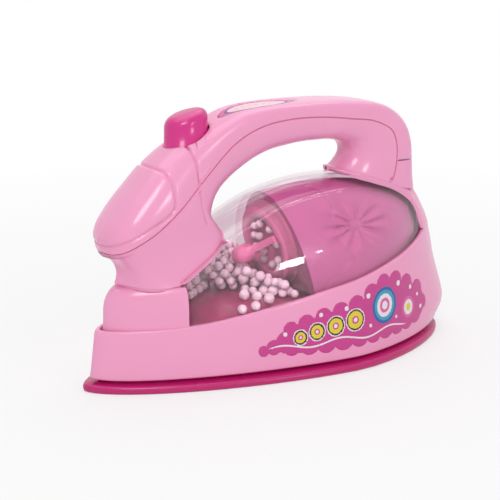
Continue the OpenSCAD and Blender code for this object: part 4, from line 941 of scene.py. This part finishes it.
badge_rows = []
for share in [0.1 * mm] + [k / 16 for k in range(1, 17)]:
    ring = []
    for i in range(96):
        a = 2 * pi * i / 96
        x = badge_x + badge_long * 0.985 * share * cos(a)
        y = badge_wide * 0.985 * share * sin(a)
        ring.append(Vector((x, y, from_above(cover_skin, x, y).z - 0.26 * mm)))
    badge_rows.append(ring)
badge_mesh = drape(bmesh.new(), badge_rows, True)
bmesh.ops.remove_doubles(badge_mesh, verts=badge_mesh.verts, dist=0.02 * mm)
turn_faces(badge_mesh, Vector((0, 0, 1)))
badge = add_piece("badge", badge_mesh, badge_film, ["handle_badge"])
give_wall(badge, "film", 0.3 * mm)

# Side sticker
# A die-cut vinyl sticker on the near side of the skirt: a scalloped magenta ground printed
# with plain round motifs in white, yellow and blue under a gloss varnish.


def printed_vinyl(name, ink, thin):
    """Ink on gloss vinyl: its density varies a little, and the varnish is smooth."""
    material, place = new_material(name)
    screen = add_node(material, "TexNoise", {"Vector": place, "Scale": 1000 / 1.5, "Detail": 3.0})
    tint = add_node(material, "Mix", {"Factor": screen, MIX_A: ink, MIX_B: thin},
                    data_type="RGBA")
    shader = add_node(material, "BsdfPrincipled",
                      {"Base Color": tint, "Roughness": 0.3, "IOR": 1.5})
    add_node(material, "OutputMaterial", {"Surface": shader})
    return material


inks = [printed_vinyl("vinyl_" + name, ink, thin) for name, ink, thin in (
    ("magenta", "#cf3f93", "#c63789"), ("white", "#f1e8ee", "#e9dee6"),
    ("yellow", "#e8d72c", "#dfc923"), ("plum", "#3b2145", "#301a3a"),
    ("blue", "#1f64ac", "#195a9f"), ("sky", "#3fa0c4", "#3896ba"), ("pink", "#e263a9", "#db5aa1"))]
# The inks' slots, and one for what is cut away
GROUND, WHITE, YELLOW, PLUM, BLUE, SKY, ROSE, CUT = range(8)

# Places every half millimetre under the sticker, and the lengths along the skirt up to them
run_places, run_lengths = [k / 2 * mm for k in range(-48, 97)], [0.0]
for x, next_x in zip(run_places, run_places[1:]):
    here, there = (skirt_point(place, 0.5, skirt_inset(0.5)) for place in (x, next_x))
    run_lengths.append(run_lengths[-1] + (there - here).length)


def run_at(x_mm):
    """Length along the skirt, in millimetres, of the place x."""
    return float(numpy.interp(x_mm * mm, run_places, run_lengths)) / mm


def on_skirt(u, z_mm, lift):
    """Point of the skirt's near side at a length along it and a height."""
    x = float(numpy.interp(u * mm, run_lengths, run_places))
    share = (z_mm * mm - body_z) / (rim_z(x) - body_z)
    point = skirt_point(x, share, skirt_inset(share))
    ahead = skirt_point(x + 0.2 * mm, share, skirt_inset(share))
    level = Vector((ahead.y - point.y, point.x - ahead.x, 0)).normalized()
    return point + level * lift


# Discs that make up the ground: x, height and radius in millimetres
scallops = [(-15.5, 8.9, 1.5), (-12.6, 9.6, 2.1), (-9, 10.6, 3), (-4.6, 11.2, 4), (1, 12, 4.6),
            (7, 12.8, 5), (13, 13.4, 5.4), (19, 14.2, 6.2), (25.5, 15, 7.4), (32, 14.6, 6.8),
            (37, 13.4, 4.9), (-7.4, 13.8, 2.3), (-2.8, 15, 2.5), (2.4, 16.2, 2.5),
            (7.8, 17, 2.6), (13, 18.2, 2.6), (18.6, 20.2, 2.9), (23.4, 22, 3), (28.4, 21.8, 3),
            (33.4, 19.9, 2.9), (38.2, 17.2, 2.7), (40.2, 12.8, 2.2), (36.8, 10.4, 3),
            (-7.4, 9.2, 2.5), (-2.2, 9.3, 3), (3, 9.4, 3.3), (8.4, 9.5, 3.4), (13.8, 9.6, 3.4),
            (19, 9.7, 3.4), (24, 9.8, 3.4), (28.7, 9.8, 3.4), (33, 9.9, 3.2)]
rounds = [(GROUND, [(run_at(x), z, r) for x, z, r in scallops])]
for x, z, r in ((-4.8, 11.4, 1.7), (0.2, 12.4, 2.05), (6, 13.2, 2.35), (12.4, 14, 2.65)):
    for ink, size in ((WHITE, r + 0.55), (PLUM, r + 0.3), (YELLOW, r - 0.2), (GROUND, r * 0.42),
                      (WHITE, r * 0.24)):
        rounds.append((ink, [(run_at(x), z, size)]))
for ink, x, z, size in (
        (BLUE, 23.6, 16, 5.2), (SKY, 23.6, 16, 4.3), (WHITE, 23.6, 16, 3.3), (ROSE, 23.6, 16, 2.1),
        (WHITE, 23.6, 16, 1.2), (ROSE, 33.6, 13, 3.1), (WHITE, 33.6, 13, 2.2),
        (YELLOW, 33.6, 13, 1.1), (WHITE, -9.2, 12.8, 0.6), (WHITE, 1.6, 16.9, 0.6),
        (WHITE, 9.6, 17.6, 0.65), (WHITE, 17.2, 19.9, 0.75), (WHITE, 29.6, 21, 0.8),
        (WHITE, 35, 18.6, 0.65), (WHITE, 39.2, 11.6, 0.6), (WHITE, 28.2, 11.6, 0.5),
        (WHITE, 17.8, 11.4, 0.5), (WHITE, 38, 15.6, 0.5)):
    rounds.append((ink, [(run_at(x), z, size)]))
wave_from, wave_to = run_at(-15), run_at(33)


def wave_side(u, v):
    """Signed distance to the white wavy line, negative on it, and the way out of it."""
    side = v - (9.1 + 0.7 * sin((u - wave_from) / 2.9))
    edge = abs(side) - 0.24 * min(1, (u - wave_from) / 4, (wave_to - u) / 4)
    return edge, (0, 1 if side > 0 else -1)


def contours(u, v):
    """Each printed shape's ink, signed distance and the way out of it."""
    found = []
    for ink, discs in rounds:
        if len(discs) == 1 and abs(u - discs[0][0]) > discs[0][2] + 0.5:
            continue
        d, out = min(((hypot(u - a, v - b) - r, (u - a, v - b)) for a, b, r in discs),
                     key=lambda pair: pair[0])
        size = hypot(*out) or 1
        found.append((ink, d, (out[0] / size, out[1] / size)))
        if len(found) == 1 and wave_from < u < wave_to:
            found.append((WHITE, *wave_side(u, v)))
    return found


# The sheet that the shapes are cut from: its cells in millimetres, and where its corner lies
cell, across_n, up_n = 0.27, 246, 84
sticker_x, sticker_z, film_lift = -18, 4.4, 0.09 * mm
sticker_mesh = bmesh.new()
bmesh.ops.create_grid(sticker_mesh, x_segments=across_n, y_segments=up_n, size=0.5,
                      matrix=Matrix.Diagonal((across_n * cell, up_n * cell, 1, 1)))
shift_u, shift_v = run_at(sticker_x) + across_n * cell / 2, sticker_z + up_n * cell / 2
for vert in sticker_mesh.verts:
    u, v = vert.co.x + shift_u, vert.co.y + shift_v
    near = [c for c in contours(u, v) if abs(c[1]) < 0.56 * cell]
    if near:
        _, d, way = min(near, key=lambda c: abs(c[1]))
        u, v = u - way[0] * d, v - way[1] * d
    vert.co = (u, v, 0)
for face in sticker_mesh.faces:
    middle = face.calc_center_median()
    found = contours(middle.x, middle.y)
    face.material_index = [c[0] for c in found if c[1] < 0][-1] if found[0][1] < 0 else CUT
outside = [f for f in sticker_mesh.faces if f.material_index == CUT]
bmesh.ops.delete(sticker_mesh, geom=outside, context="FACES")
for vert in sticker_mesh.verts:
    vert.co = on_skirt(vert.co.x, vert.co.y, film_lift)
turn_faces(sticker_mesh, Vector((0, -1, 0)))
sticker = add_piece("side_sticker", sticker_mesh, inks[0], None)
for ink in inks[1:]:
    sticker.data.materials.append(ink)
give_wall(sticker, "film", 0.07 * mm)

# Push button, switch and board
# A polished deep pink ABS button slides in the crown, on a steel spring, over a small black
# switch that is soldered to a board of brown paper laminate.
button_abs = moulded_plastic("button_abs", "#dc2a8c", "#d42384", 0.2)
add_piece("button", merged_copy("push_button"), button_abs, ["push_button"],
          40, "button")
dress("switch_board", moulded_plastic("paper_laminate", "#b98443", "#a87439", 0.55))
dress("push_switch", moulded_plastic("black_abs", "#242427", "#1d1d20", 0.42))

# Floor, light and camera
# A white table and a white surround. A broad soft box hangs over the toy with a narrow lamp
# along its edge, the key light stands high on the toe's side, and two small lamps to the right
# of the camera give the dome its glints.
bm = bmesh.new()
bmesh.ops.create_grid(bm, x_segments=1, y_segments=1, size=3.0)
floor_mesh = bpy.data.meshes.new("floor")
bm.to_mesh(floor_mesh)
bm.free()


def direct_share(owner):
    """1 for a ray that shows the white straight, in a mirror or through clear plastic."""
    ray = add_node(owner, "LightPath").outputs
    sharp = add_node(owner, "Math", {0: ray["Is Camera Ray"], 1: ray["Is Glossy Ray"]},
                     operation="MAXIMUM")
    return add_node(owner, "Math", {0: sharp, 1: ray["Is Transmission Ray"]}, operation="MAXIMUM")


paper, place = new_material("white_paper")
fibre = add_node(paper, "TexNoise", {"Vector": place, "Scale": 1000 / 3})
rough = add_node(paper, "MapRange", {"Value": fibre, "To Min": 0.85, "To Max": 0.95})
sheet = add_node(paper, "BsdfPrincipled",
                 {"Base Color": "#f4f4f4", "Roughness": rough, "Specular IOR Level": 0.1})
white = add_node(paper, "Emission", {"Color": "#ffffff", "Strength": 1.0})
spread = add_node(paper, "VectorMath", {0: place}, operation="LENGTH")
fade = add_node(paper, "MapRange", {"Value": spread, "From Min": 0.07, "From Max": 0.3,
                                    "To Min": 0.6, "To Max": 1.0})
share = add_node(paper, "Math", {0: direct_share(paper), 1: fade}, operation="MULTIPLY")
mixed = add_node(paper, "MixShader", {"Fac": share, 1: sheet, 2: white})
add_node(paper, "OutputMaterial", {"Surface": mixed})
floor_mesh.materials.append(paper)
floor = add_object("floor", floor_mesh)

world = bpy.data.worlds.new("studio")
bpy.context.scene.world = world
world.use_nodes = True
world.node_tree.nodes.clear()
strength = add_node(world, "MapRange",
                    {"Value": direct_share(world), "To Min": 0.42, "To Max": 1.0})
glow = add_node(world, "Background", {"Color": (1, 1, 1, 1), "Strength": strength})
add_node(world, "OutputWorld", {"Surface": glow})
target = Vector((0, 0, 0.03))


def turn_to(thing, aim):
    thing.rotation_euler = (aim - thing.location).to_track_quat("-Z", "Y").to_euler()


def add_soft_box(name, place_m, wide, high, watts):
    lamp = bpy.data.lights.new(name, "AREA")
    lamp.shape = "RECTANGLE"
    lamp.size, lamp.size_y, lamp.energy = wide, high, watts
    box = add_object(name, lamp)
    box.location = place_m
    turn_to(box, target)
    return box


add_soft_box("key", (-0.42, -0.6, 0.62), 0.3, 0.3, 2.45)
add_soft_box("front", (0.13, -0.69, 0.19), 0.085, 0.07, 0.42)
add_soft_box("front_spot", (0.225, -0.66, 0.225), 0.02, 0.02, 0.03)
top_box = add_soft_box("top", (0.09, 0.24, 0.72), 1.1, 0.6, 2.6)
strip = add_soft_box("strip", (0.25, -0.09, 0.72), 1.1, 0.007, 0.3)
for box in (top_box, strip):
    box.rotation_euler = (0, 0, radians(27))

# The camera: where it stands round the toy, and its focal length in the photograph's pixels
azimuth, elevation, distance = radians(-32.57), radians(14.69), 0.4
focal_px, photo_px = 1422.74, 500
back = Vector((sin(azimuth) * cos(elevation),
               -cos(azimuth) * cos(elevation), sin(elevation)))
right = Vector((cos(azimuth), sin(azimuth), 0))
up = back.cross(right)
camera_data = bpy.data.cameras.new("camera")
camera_data.sensor_fit = "HORIZONTAL"
camera_data.sensor_width = 36
camera_data.lens = focal_px / photo_px * camera_data.sensor_width
camera_data.clip_start = 0.01
camera = add_object("camera", camera_data)
camera.location = target + back * distance
turn_to(camera, target - right * 0.00706 + up * 0.00065)
bpy.context.scene.camera = camera
bpy.context.scene.view_settings.view_transform = "Standard"
